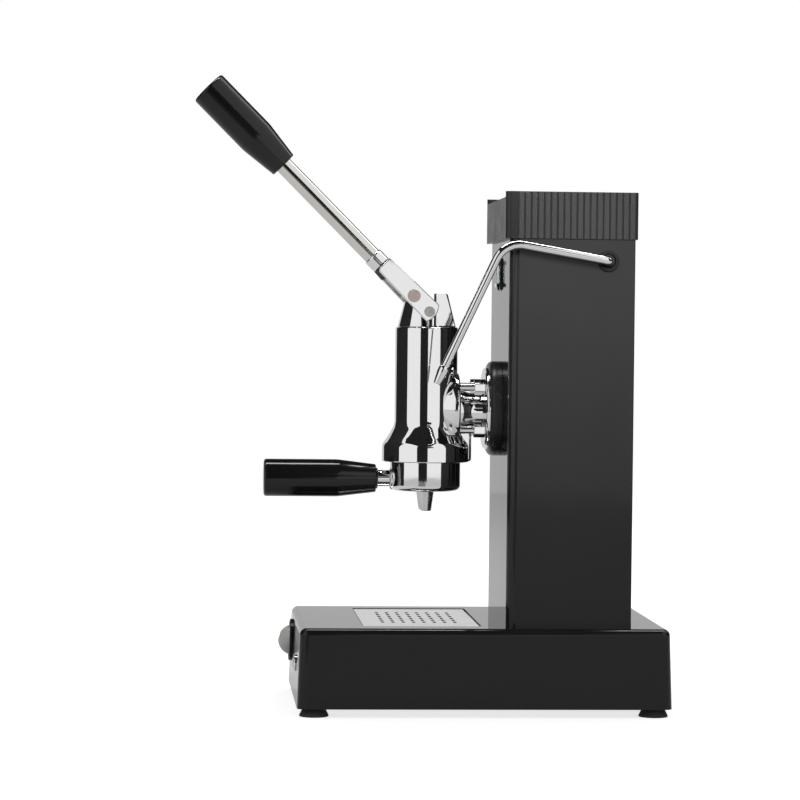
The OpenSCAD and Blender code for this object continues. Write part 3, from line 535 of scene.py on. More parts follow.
def hung(name: str, data: bpy.types.ID) -> bpy.types.Object:
    """Makes an object and puts it in the scene.

    Args:
        name: Name of the object.
        data: Its mesh, lamp or camera.

    Returns:
        The object.
    """
    made = bpy.data.objects.new(name, data)
    bpy.context.scene.collection.objects.link(made)
    return made


def join(*parts: Mesh) -> Mesh:
    """Puts several meshes into one.

    Args:
        parts: The meshes, which are freed.

    Returns:
        The whole mesh.
    """
    whole = bmesh.new()
    for part in parts:
        shell = filled("shell", part)
        whole.from_mesh(shell)
        bpy.data.meshes.remove(shell)
    return whole


def carve(bm: Mesh, other: Mesh, how: Cut = Cut.TAKE) -> Mesh:
    """Joins two solids by a boolean, and frees both.

    Args:
        bm: First solid.
        other: Second solid.
        how: Whether the second is added or taken away.

    Returns:
        The new solid.
    """
    made = [hung("carve", filled("carve", part)) for part in (bm, other)]
    tool = made[0].modifiers.new("carve", "BOOLEAN")
    tool.object = made[1]
    tool.operation = how.value
    tool.solver = "EXACT"
    result = bmesh.new()
    result.from_object(made[0], bpy.context.evaluated_depsgraph_get())
    for temp in made:
        shell = temp.data
        bpy.data.objects.remove(temp)
        bpy.data.meshes.remove(shell)
    bmesh.ops.remove_doubles(result, verts=result.verts, dist=NEAR)
    bmesh.ops.dissolve_degenerate(result, dist=NEAR, edges=result.edges)
    return result


def fluted(bm: Mesh, count: int, reach: float, radius: float) -> Mesh:
    """Cuts upright finger flutes round a turned piece.

    Args:
        bm: Turned piece, with its foot at height 0.
        count: Number of flutes.
        reach: Distance of the flutes' axes from the middle.
        radius: Radius of a flute.

    Returns:
        The fluted piece, with its sharp edges rounded.
    """
    for i in range(count):
        turn = 2 * math.pi * i / count
        spot = (reach * math.cos(turn), reach * math.sin(turn), 0)
        bm = carve(bm, move(plug(radius, *FLUTE_Z, 32), Matrix.Translation(spot)))
    round_sharp(bm, 0.5, 2, 50)
    return bm


def piece(
    name: str, bm: Mesh, finish: Finish, body: Body,
    stands_for: Sequence[str] = (), flat: bool = True,
) -> bpy.types.Object:
    """Turns a mesh in millimetres into a finished piece of the machine.

    Args:
        name: Name of the piece.
        bm: Its mesh, which is freed.
        finish: Its finish.
        body: Body that it rides on.
        stands_for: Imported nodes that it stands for.
        flat: True if large flat faces keep their shading flat.

    Returns:
        The new object.
    """
    bmesh.ops.scale(bm, vec=(MM, MM, MM), verts=bm.verts)
    mesh = filled(name, bm)
    mesh.shade_smooth()
    mesh.set_sharp_from_angle(angle=SMOOTH_ANGLE)
    made = hung(name, mesh)
    made.data.materials.append(finish.material())
    if flat:
        even = made.modifiers.new("even_normals", "WEIGHTED_NORMAL")
        even.keep_sharp = True
    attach(made, body.value)
    if stands_for:
        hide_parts(*stands_for)
    LOG.info("%s: %d faces on %s", name, len(mesh.polygons), body.value)
    return made


# Sub-assemblies


@dataclass
class Base:
    """The low black base with its feet, tray cover, switch and pilot lamp, in millimetres."""

    half_width: float = 100.0
    front: float = -105.0
    rear: float = 187.0
    low: float = 6.7
    top: float = 68.9
    draft: float = 1.9
    corner: float = 7.0
    edge: float = 5.0
    under_wall: float = 5.7
    under_lift: float = 1.6
    tray: Box = ((-75.0, -53.5, 60.0), (75.0, 39.5, 72.0))
    tray_corner: float = 3.0
    pocket: Box = ((-77.5, -56.0, 36.0), (77.5, 42.0, 64.9))
    cover_half: float = 74.6
    cover_y: Pair = (-52.9, 38.2)
    cover_below: Pair = (2.7, 0.4)
    cover_edge: float = 0.4
    slot_count: tuple[int, int] = (6, 8)
    slot_pitch: Pair = (15.5, 8.2)
    slot_half: Pair = (4.5, 1.3)
    slot_round: float = 1.2
    slot_shift: float = 7.0
    feet: tuple[Pair, ...] = ((-86.5, -91.5), (86.5, -91.5), (-86.5, 173.5), (86.5, 173.5))
    lean: float = math.radians(1.9)
    switch: Point = (-64.0, -103.768, 43.8)
    switch_bore: float = 14.7
    lamp: Point = (36.0, -104.03, 35.9)
    lamp_bore: float = 5.7
    bore_z: Pair = (-24.0, 8.0)
    cord_x: float = 62.0
    cord_z: float = 30.0

    def on_face(self, spot: Point) -> Matrix:
        """Gives the matrix of a fitting on the leaning front face, with +Z pointing forward."""
        return Matrix.Translation(spot) @ Matrix.Rotation(math.pi / 2 - self.lean, 4, "X")

    def body(self) -> None:
        """Builds the leaning body with its round edges, tray opening and underside."""
        bm = block((-self.half_width, self.front, self.low), (self.half_width, self.rear, self.top))
        middle = (self.front + self.rear) / 2
        for v in bm.verts:
            if v.co.z > self.top - 1:
                v.co.x -= math.copysign(self.draft, v.co.x)
                v.co.y -= math.copysign(self.draft, v.co.y - middle)
        round_edges(bm, upright(bm), self.corner, 8)
        round_edges(bm, edges_where(bm.edges, lambda co: co.z > self.top - 0.01), self.edge, 6)
        under = [f for f in bm.faces if f.normal.z < -0.9]
        bmesh.ops.inset_region(bm, faces=under, thickness=self.under_wall, depth=0.0, use_even_offset=True)
        inside = list({v for f in under for v in f.verts})
        bmesh.ops.translate(bm, vec=(0, 0, self.under_lift), verts=inside)
        opening = block(*self.tray)
        round_edges(opening, upright(opening), self.tray_corner, 4)
        bm = carve(bm, opening)
        bm = carve(bm, block(*self.pocket))
        for spot, radius in ((self.switch, self.switch_bore), (self.lamp, self.lamp_bore)):
            bm = carve(bm, move(plug(radius, *self.bore_z), self.on_face(spot)))
        piece("base_body", bm, ENAMEL, Body.FRAME, ["base_shell", "base_deck"])

    def cover(self) -> None:
        """Builds the slotted tray cover, nearly level with the deck."""
        (front, rear), (deep, drop) = self.cover_y, self.cover_below
        bm = block((-self.cover_half, front, self.top - deep), (self.cover_half, rear, self.top - drop))
        round_edges(bm, upright(bm), self.tray_corner, 4)
        round_edges(bm, edges_where(bm.edges, lambda co: co.z > self.top - 0.5), self.cover_edge, 2)
        (across, rows), (wide, deep), slots = self.slot_count, self.slot_half, []
        for i in range(across):
            for j in range(rows):
                x = (i - (across - 1) / 2) * self.slot_pitch[0]
                y = (j - (rows - 1) / 2) * self.slot_pitch[1] - self.slot_shift
                slot = block((x - wide, y - deep, self.top - 5), (x + wide, y + deep, self.top + 2))
                round_edges(slot, upright(slot), self.slot_round, 4)
                slots.append(slot)
        bm = carve(bm, join(*slots))
        piece("tray_cover", bm, COVER_STEEL, Body.GRID, ["drip_grid"])

    def foot_pads(self) -> None:
        """Builds the four flared rubber feet."""
        profile = [
            (4.6, 0, 0.3), (11.7, 0, 0.9), (11.2, 1.6, 0.5), (8.6, 6.6, 0.6),
            (2.4, 6.6, 0), (2.4, 3.7, 0), (4.6, 3.7, 0.2),
        ]
        pads = [move(turned(profile, 48), Matrix.Translation((x, y, 0))) for x, y in self.feet]
        piece("foot_pads", join(*pads), RUBBER, Body.FRAME, ["rubber_feet"])

    def controls(self) -> None:
        """Builds the switch bezel, the pilot lamp's ring and lens, and the cord's collar."""
        bezel = [
            (13.0, -13.4, 0), (14.55, -13.4, 0), (14.55, 0, 0), (17.2, 0, 0.3),
            (17.2, 2.4, 1.2), (14.6, 2.4, 0.4), (13.0, 1.6, 0.4),
        ]
        ring = [
            (4.65, -8, 0), (5.55, -8, 0), (5.55, 0, 0), (6.6, 0, 0.2),
            (6.6, 1.3, 0.5), (5.6, 2.0, 0.3), (4.65, 1.6, 0.2),
        ]
        lens = [(0, -7.5, 0), (4.55, -7.5, 0), (4.55, 1.6, 0.6), (3.4, 2.7, 1.0), (0, 3.2, 0)]
        gland = [
            (4.0, -12, 0.3), (6.4, -12, 0.4), (6.4, 0, 0), (8.5, 0, 0.2),
            (8.5, 1.8, 0.8), (5.6, 3.0, 0.6), (4.0, 3.0, 0.4),
        ]
        at_switch, at_lamp = self.on_face(self.switch), self.on_face(self.lamp)
        at_rear = along((self.cord_x, self.rear, self.cord_z), REAR)
        for name, node, profile, steps, place, finish, slot in (
            ("switch_surround", "switch_bezel", bezel, STEPS, at_switch, BLACK_TRIM, "black_plastic"),
            ("lamp_bezel", "lamp_ring", ring, 64, at_lamp, CHROME, "chrome"),
            ("lamp_dome", "lamp_lens", lens, 64, at_lamp, CLEAR_LENS, "clear_lens"),
            ("cord_collar", "cord_gland", gland, 64, at_rear, BLACK_TRIM, "black_plastic"),
        ):
            piece(name, move(turned(profile, steps), place), finish, Body.FRAME, [node])

    def build(self) -> None:
        """Builds all pieces of the base."""
        self.body()
        self.cover()
        self.foot_pads()
        self.controls()


@dataclass
class Tower:
    """The upright black tower and its ribbed collar, in millimetres."""

    half_width: float = 73.5
    front: float = 59.0
    rear: float = 157.5
    low: float = 68.9
    top: float = 372.0
    corner: float = 7.5
    rear_round: float = 1.6
    sheet: float = 2.0
    window: Box = ((-8.0, 50.0, 335.0), (8.0, 70.0, 356.0))
    surround: Box = ((-11.0, 58.6, 332.0), (11.0, 59.0, 359.0))
    surround_edge: float = 0.15
    bar_x: float = 9.5
    bar_half: float = 1.2
    bar_y: Pair = (57.6, 58.95)
    bar_z: Pair = (333.0, 358.0)
    bar_edge: float = 0.4
    steam_y: float = 136.0
    steam_z: float = 355.0
    wand_bore: float = 6.7
    spindle_bore: float = 5.6
    neck_z: float = 237.5
    neck_bore: float = 34.0
    screw_x: float = 66.0
    screw_inset: float = 20.0
    fill_y: float = 107.25
    fill_lift: float = 4.0
    flutes: int = 12
    flute_reach: float = 18.0
    flute_r: float = 2.8
    fill_bore: float = 14.0
    collar_top: float = 408.8
    collar_front: float = 55.0
    collar_rear: float = 159.5
    collar_half: float = 75.5
    collar_corner: float = 4.2
    collar_step: float = 4.2
    collar_edge: float = 0.3
    wall: float = 4.5
    shelf: float = 389.0
    well: float = 375.0
    rib_pitch: float = 5.14
    rib_gap: float = 0.6
    rib_deep: float = 0.8
    rib_root: float = 0.5
    rib_edge: float = 0.4
    bed_gap: float = 0.2
    plain: float = 9.6
    plain_rear: float = 2.3

    def fore_edges(self, bm: Mesh) -> Edges:
        """Gives the upright edges at the front of a block."""
        return edges_where(upright(bm), lambda co: co.y < self.front + self.sheet + 1)

    def shell(self) -> None:
        """Builds the folded sheet with its round front corners and its holes."""
        bm = block((-self.half_width, self.front, self.low), (self.half_width, self.rear, self.top))
        round_edges(bm, self.fore_edges(bm), self.corner, 10)
        round_edges(bm, edges_where(upright(bm), lambda co: co.y > self.rear - 1), self.rear_round, 4)
        inner = block(
            (-self.half_width + self.sheet, self.front + self.sheet, self.low - 5),
            (self.half_width - self.sheet, self.rear + 5, self.top + 5),
        )
        round_edges(inner, self.fore_edges(inner), self.corner - self.sheet, 10)
        bm = carve(bm, inner)
        bm = carve(bm, block(*self.window))
        for x, radius in ((self.half_width, self.wand_bore), (-self.half_width, self.spindle_bore)):
            bm = carve(bm, move(plug(radius, -6, 6), along((x, self.steam_y, self.steam_z), RIGHT)))
        bm = carve(bm, move(plug(self.neck_bore, -6, 6, 64), along((0, self.front, self.neck_z), REAR)))
        piece("tower_sheet", bm, ENAMEL, Body.FRAME, ["tower_shell"])

    def screws(self) -> None:
        """Builds the four low slotted screws of the back panel."""
        profile = [(0, -6, 0), (1.5, -6, 0.3), (1.5, -0.1, 0), (3, 0, 0), (2.8, 0.5, 0.2), (0, 0.6, 0)]
        made = []
        for x in (-self.screw_x, self.screw_x):
            for z in (self.low + self.screw_inset, self.top - self.screw_inset):
                bm = carve(turned(profile, 40), block((-4, -0.4, 0.25), (4, 0.4, 2)))
                made.append(move(bm, along((x, self.rear, z), REAR)))
        piece("panel_screws", join(*made), BLACK_TRIM, Body.FRAME, ["back_screws"])

    def filler(self) -> None:
        """Builds the fluted filler cap below the cup plate."""
        bm = turned([
            (0, -9, 0), (9.9, -9, 0.6), (9.9, 0, 0), (17, 0, 0.5),
            (17, 8.5, 2.0), (13, 11, 1.5), (0, 10.4, 0),
        ])
        bm = fluted(bm, self.flutes, self.flute_reach, self.flute_r)
        bm = move(bm, Matrix.Translation((0, self.fill_y, self.top + self.fill_lift)))
        piece("fluted_cap", bm, BAKELITE, Body.CAP, ["filler_cap"])

    def rib_counts(self) -> tuple[int, int]:
        """Gives how many ribs stand on each side, and on the front and the back."""
        depth = self.collar_rear - self.collar_front - self.plain - self.plain_rear
        return int(depth / self.rib_pitch), int((2 * self.collar_half - 10) / self.rib_pitch)

    def ribs(self) -> None:
        """Builds the upright ribs of the collar's four sides."""
        made = []
        half, deep, edge = self.rib_pitch / 2 - self.rib_gap, self.rib_deep + self.rib_root, self.rib_edge
        low, high = self.top + 0.02, self.collar_top - 0.02
        front, rear = self.collar_front, self.collar_rear
        sides, fronts = self.rib_counts()
        for i in range(sides):
            y = front + self.plain + (i + 0.5) * self.rib_pitch
            for s in (-1, 1):
                x = sorted((s * (self.collar_half - deep), s * self.collar_half))
                made.append(block((x[0], y - half, low), (x[1], y + half, high), edge, 2))
        for i in range(fronts):
            x = (i + 0.5 - fronts / 2) * self.rib_pitch
            tall = high - self.collar_step if abs(x) < self.collar_half - self.wall - 2 else high
            made.append(block((x - half, front, low), (x + half, front + deep, tall), edge, 2))
            made.append(block((x - half, rear - deep, low), (x + half, rear, high), edge, 2))
        piece("collar_ribs", join(*made), SATIN, Body.FRAME)

    def collar(self) -> None:
        """Builds the moulded collar with its rib beds, its lowered front and its well."""
        x, y0, y1 = self.collar_half, self.collar_front, self.collar_rear
        low, high, deep, wall = self.top, self.collar_top, self.rib_deep, self.wall
        bm = block((-x, y0, low), (x, y1, high))
        round_edges(bm, upright(bm), self.collar_corner, 6)
        sides, fronts = self.rib_counts()
        start = y0 + self.plain - self.bed_gap
        end = y0 + self.plain + sides * self.rib_pitch + self.bed_gap
        across = fronts * self.rib_pitch / 2 + self.bed_gap
        beds = [sorted((s * (x - deep), s * (x + 5))) for s in (-1, 1)]
        for cut in (
            *(((bed[0], start, low - 3), (bed[1], end, high + 3)) for bed in beds),
            ((-across, y0 - 5, low - 4), (across, y0 + deep, high + 4)),
            ((-across, y1 - deep, low - 4), (across, y1 + 5, high + 4)),
            ((-x + wall, y0 + wall, self.shelf), (x - wall, y1 - wall, 420)),
            ((-x + 2 * wall, y0 + 2 * wall, self.well), (x - 2 * wall, y1 - 2 * wall, 395)),
            ((-x + wall, y0 - 6, high - self.collar_step), (x - wall, y0 + wall + 3, 421)),
        ):
            bm = carve(bm, block(*cut))
        bm = carve(bm, move(plug(self.fill_bore, 360, 380, 64), Matrix.Translation((0, self.fill_y, 0))))
        round_sharp(bm, self.collar_edge, 2, 50)
        piece("ribbed_collar", bm, BLACK_TRIM, Body.FRAME, ["top_collar"])
        self.ribs()

    def sight(self) -> None:
        """Builds the window's raised frame with its two upright bars."""
        bm = carve(block(*self.surround, self.surround_edge), block(*self.window))
        half, (front, rear), (low, high) = self.bar_half, self.bar_y, self.bar_z
        bars = [
            block((x - half, front, low), (x + half, rear, high), self.bar_edge)
            for x in (-self.bar_x, self.bar_x)
        ]
        piece("window_surround", join(bm, *bars), BLACK_TRIM, Body.FRAME, ["window_frame"])

    def build(self) -> None:
        """Builds all pieces of the tower."""
        self.shell()
        self.screws()
        self.filler()
        self.collar()
        self.sight()


@dataclass
class Group:
    """The chromed group with its flange and hood, in millimetres."""

    bell_low: float = 194.3
    bell_top: float = 208.0
    barrel_low: float = 223.0
    barrel_top: float = 302.4
    hood_low: float = 290.4
    hood_top: float = 329.2
    hood_slot: float = 6.3
    hood_plug_r: float = 22.0
    hood_low_r: float = 23.4
    hood_top_r: float = 16.6
    flank_x: float = 33.0
    flank_half: Pair = (25.0, 60.0)
    rim_round: float = 1.6
    ledge: float = 322.7
    bell_r: float = 35.0
    cavity_r: float = 31.5
    barrel_r: float = 25.1
    bore_r: float = 22.1
    rod_bore: float = 7.1
    flange_z: float = 237.5
    flange_y: Pair = (46.0, 49.0)
    flange_r: float = 33.0
    disc_y: float = 59.0
    disc_r: float = 38.0
    neck_z: float = 234.5
    neck_r: float = 15.0
    pad_r: float = 28.3
    pad_y: float = 26.0
    reach: float = 46.0
    gusset_half: float = 9.0
    gusset_y: Pair = (4.0, 36.3)
    gusset_edge: float = 2.4
    bolt_half: float = 17.0
    bolt_r: float = 3.1
    bolt_end: float = 65.0
    nut_r: float = 6.3
    nut_deep: float = 9.0
    nut_edge: float = 0.7

    def casting(self) -> None:
        """Builds the barrel, flare and bell with the neck, bolt pad and gusset."""
        r, low, high = self.barrel_r, self.bell_low, self.barrel_top
        bm = turned([
            (0, low, 0), (self.bell_r, low, 0.8), (self.bell_r, self.bell_top, 2.2),
            (r + 3.4, self.barrel_low - 5.6, 5.0), (r, self.barrel_low + 1.5, 5.0),
            (r, high, 1.4), (0, high, 0),
        ], 128)
        pad = turned([
            (0, 4, 0), (16, 4, 0), (self.pad_r - 8, 10, 5.0),
            (self.pad_r, self.pad_y - 5, 2.5), (self.pad_r, self.pad_y, 1.8), (0, self.pad_y, 0),
        ])
        bm = carve(bm, move(pad, along((0, 0, self.flange_z), REAR)), Cut.ADD)
        root = self.neck_r + 2.5
        neck = turned([
            (0, 4, 0), (root, 4, 0), (root, self.pad_y + 2, 3.0),
            (self.neck_r, self.pad_y + 9, 4.0), (self.neck_r, self.reach, 0), (0, self.reach, 0),
        ], 72)
        bm = carve(bm, move(neck, along((0, 0, self.neck_z), REAR)), Cut.ADD)
        half, (front, rear) = self.gusset_half, self.gusset_y
        gusset = block((-half, front, low + 0.4), (half, rear, self.neck_z - 8), self.gusset_edge, 4)
        bm = carve(bm, gusset, Cut.ADD)
        bm = carve(bm, plug(self.cavity_r, low - 5, self.bell_top, STEPS))
        bm = carve(bm, plug(self.bore_r, self.bell_top - 2, high + 5, STEPS))
        piece("group_casting", bm, CHROME, Body.FRAME, ["group_body"])

    def cap(self) -> None:
        """Builds the slotted hood over the barrel, with painted shade on the slot's upright walls."""
        low, high, slot = self.barrel_top, self.hood_top, self.hood_slot
        bm = turned([
            (0, self.hood_low, 0), (self.hood_plug_r, self.hood_low, 0), (self.hood_plug_r, low, 0),
            (self.hood_low_r, low, 0.5), (self.hood_top_r, high, 1.1), (0, high, 0),
        ])
        wide, deep = self.flank_half
        for side in (-1, 1):
            flank = block((-wide, -deep, low + 1), (wide, deep, high + 9))
            bm = carve(bm, move(flank, Matrix.Translation((side * self.flank_x, deep + slot / 2, 0))))
        bm = carve(bm, block((-50, -slot, low + 0.01), (50, slot, high + 11)))
        bm = carve(bm, block((-50, -50, self.ledge), (50, slot / 3, high + 13)))
        bm = carve(bm, plug(self.rod_bore, 280, 310, 64))
        rim_x = self.flank_x - wide
        rims = edges_where(bm.edges, lambda co: abs(abs(co.x) - rim_x) < 0.01 and abs(co.y - slot) < 0.01)
        round_edges(bm, rims, self.rim_round, 2)
        # Painted shade: the slot's upright walls take the second, near-black material to stand in for the
        # slot's shadowed inside.
        for face in bm.faces:
            in_slot = abs(face.calc_center_median().y) < slot + 0.1
            face.material_index = int(in_slot and abs(face.normal.y) > 0.9)
        made = piece("slotted_hood", bm, CHROME, Body.FRAME, ["hood"])
        made.data.materials.append(PAINTED_SHADE_BLACK.material())

    def flange(self) -> None:
        """Builds the chromed flange, the insulating disc, and the bolts with their nuts."""
        place = along((0, 0, self.flange_z), REAR)
        (face, back), r = self.flange_y, self.flange_r
        disc = turned([
            (0, back, 0), (self.disc_r, back, 4.5), (self.disc_r, self.disc_y, 0.3), (0, self.disc_y, 0),
        ])
        piece("insulating_disc", move(disc, place), BLACK_TRIM, Body.FRAME, ["flange_disc"])
        plate = turned([
            (0, face, 0), (r - 1.8, face, 0.8), (r, face + 1.6, 0.8), (r, back, 0), (0, back, 0),
        ])
        piece("chrome_flange", move(plate, place), CHROME, Body.FRAME, ["group_flange"])
        half, shanks, nuts = self.bolt_half, [], []
        for x, z in ((sx * half, self.flange_z + sz * half) for sx in (-1, 1) for sz in (-1, 1)):
            shanks.append(move(plug(self.bolt_r, self.pad_y, self.bolt_end, 40), along((x, 0, z), REAR)))
            bm = bmesh.new()
            bmesh.ops.create_cone(
                bm, cap_ends=True, segments=6, radius1=self.nut_r, radius2=self.nut_r, depth=self.nut_deep,
            )
            round_edges(bm, bm.edges, self.nut_edge, 3)
            bm = carve(bm, plug(self.bolt_r + FIT, -8, 8, 40))
            nuts.append(move(bm, along((x, face - self.nut_deep / 2, z), REAR)))
        piece("flange_studs", join(*shanks), POLISHED, Body.FRAME, ["flange_bolts"])
        piece("flange_hex_nuts", join(*nuts), CHROME, Body.FRAME, ["flange_nuts"])

    def build(self) -> None:
        """Builds all pieces of the group."""
        self.casting()
        self.cap()
        self.flange()


@dataclass
class Grip:
    """A moulded grip, turned about its own axis from its neck, in millimetres."""

    length: float = 86.8
    neck: float = 11.2
    radius: float = 15.0
    taper: float = 31.0
    hole: float = 4.55
    deep: float = 45.0

    def mesh(self) -> Mesh:
        """Makes the grip with its neck at the origin and its end along +Z.

        Returns:
            The grip's mesh.
        """
        return turned([
            (0, self.deep, 0), (self.hole, self.deep, 0), (self.hole, 0, 0), (self.neck, 0, 0.9),
            (self.radius, self.taper, 2.0), (self.radius, self.length - 0.6, 1.8),
            (self.radius * 0.6, self.length, 4.0), (0, self.length, 0),
        ])


@dataclass
class Lever:
    """The lever on its two pins, in millimetres along the lever from the rod pin."""

    pivot: Point = (0.0, 0.0, 314.5)
    tilt: float = math.radians(45)
    cheek_in: float = 23.8
    cheek_out: float = 27.8
    cheek_r: float = 9.8
    cheek_narrow: Pair = (3.4, 2.2)
    foot: tuple[Pair, ...] = ((9.2, -1.6), (1.9, -6.6), (-7.3, -4.1))
    foot_round: float = 5.0
    heel_round: float = 3.0
    yoke: float = 52.7
    bridge: float = 10.0
    pin_gap: float = 17.7
    pin_head: float = 1.5
    rod_pin_r: float = 3.2
    rod_pin_head_r: float = 4.2
    fulcrum_r: float = 4.0
    fulcrum_head_r: float = 5.15
    socket: float = 5.05
    spigot: float = 43.7
    spigot_r: float = 5.0
    collar: float = 62.7
    collar_r: float = 8.0
    rod_end: float = 164.3
    rod_r: float = 7.0
    tang: float = 44.0
    tang_r: float = 4.5
    grip: Grip = field(default_factory=Grip)

    def place(self) -> Matrix:
        """Gives the matrix from lever lengths along +Z, with X kept, to the machine."""
        return Matrix.Translation(self.pivot) @ Matrix.Rotation(math.pi / 2 - self.tilt, 4, "X")

    def cheek(self, x0: float, x1: float, start: float) -> Mesh:
        """Makes a plate of the yoke's side outline.

        Args:
            x0: Lower side.
            x1: Upper side.
            start: Distance from the rod pin at which the plate starts; 0 gives it the round foot.

        Returns:
            The plate, in lever lengths.
        """
        bm = bmesh.new()
        low, high = (self.cheek_r - narrow for narrow in self.cheek_narrow)
        share = start / self.yoke
        y0 = -(self.cheek_r + (low - self.cheek_r) * share)
        y1 = self.cheek_r + (high - self.cheek_r) * share
        foot = ((y1, start), (y0, start)) if start else self.foot
        outline = ((-low, self.yoke), (high, self.yoke), *foot)
        face = bm.faces.new([bm.verts.new((x0, y, z)) for y, z in outline])
        grown = bmesh.ops.extrude_face_region(bm, geom=[face])["geom"]
        far = [part for part in grown if isinstance(part, bmesh.types.BMVert)]
        bmesh.ops.translate(bm, vec=(x1 - x0, 0, 0), verts=far)
        clean(bm)
        if not start:
            corner = edges_where(bm.edges, lambda co: co.z > self.yoke - 0.01 and co.y < 0)
            round_edges(bm, corner, self.heel_round, 5)
            nose = min(v.co.z for v in bm.verts)
            round_edges(bm, edges_where(bm.edges, lambda co: co.z < nose + 0.01), self.foot_round, 8)
        return bm

    def fork(self) -> None:
        """Builds the yoke: two cheeks and the bridge between them, the bridge darkened as painted shade.
        """
        plates = []
        for x0, x1 in ((self.cheek_in, self.cheek_out), (-self.cheek_out, -self.cheek_in)):
            bm = self.cheek(x0, x1, 0)
            round_sharp(bm, 0.9, 3, 40)
            for z, radius in ((0, self.rod_pin_r), (self.pin_gap, self.fulcrum_r)):
                bm = carve(bm, move(plug(radius + FIT, -40, 40), along((0, 0, z), RIGHT)))
            plates.append(bm)
        piece("lever_fork", move(join(*plates), self.place()), CHROME, Body.LEVER, ["lever_yoke"])
        # The bridge gets painted shade: a near-black finish that stands in for the shadowed inside between
        # the cheeks.
        bm = self.cheek(-self.cheek_in, self.cheek_in, self.yoke - self.bridge)
        round_sharp(bm, 0.8, 3, 40)
        bm = carve(bm, plug(self.socket, 30, 60))
        piece("fork_bridge", move(bm, self.place()), PAINTED_SHADE_BLACK, Body.LEVER)

    def pins(self) -> None:
        """Builds the two headed pins."""
        out = self.cheek_out
        tip = out + self.pin_head
        for name, node, z, radius, head, finish, slot in (
            (
                "fulcrum_axle", "fulcrum_pin", self.pin_gap,
                self.fulcrum_r, self.fulcrum_head_r, BRONZE, "bronze",
            ),
            ("rod_axle", "rod_pin", 0.0, self.rod_pin_r, self.rod_pin_head_r, PIN_STEEL, "steel"),
        ):
            pin = turned([
                (0, -tip, 0), (head, -tip, 0.35), (head, -out, 0), (radius, -out, 0),
                (radius, out, 0), (head, out, 0), (head, tip, 0.35), (0, tip, 0),
            ], 64)
            pin = move(pin, along((0, 0, z), RIGHT))
            piece(name, move(pin, self.place()), finish, Body.LEVER, [node])

    def arm(self) -> None:
        """Builds the collar, the rod and the grip."""
        r, low, high = self.collar_r, self.yoke, self.collar
        collar = turned([
            (self.socket, low, 0.2), (r, low, 0.4), (r, high - 1.0, 0.4), (r - 0.5, high, 0.3),
            (self.socket, high, 0),
        ])
        piece("lever_ferrule", move(collar, self.place()), CHROME, Body.LEVER, ["lever_collar"])
        end, tip = self.rod_end, self.rod_end + self.tang
        rod = turned([
            (0, self.spigot, 0), (self.spigot_r, self.spigot, 0.5), (self.spigot_r, high, 0),
            (self.rod_r, high, 0.4), (self.rod_r, end, 0.3),
            (self.tang_r, end, 0), (self.tang_r, tip, 0.5), (0, tip, 0),
        ])
        piece("lever_bar", move(rod, self.place()), ROD_STEEL, Body.LEVER, ["lever_rod"])
        grip = move(self.grip.mesh(), Matrix.Translation((0, 0, end)))
        piece("lever_handle", move(grip, self.place()), BAKELITE, Body.LEVER, ["lever_grip"])

    def build(self) -> None:
        """Builds all pieces of the lever."""
        self.fork()
        self.pins()
        self.arm()


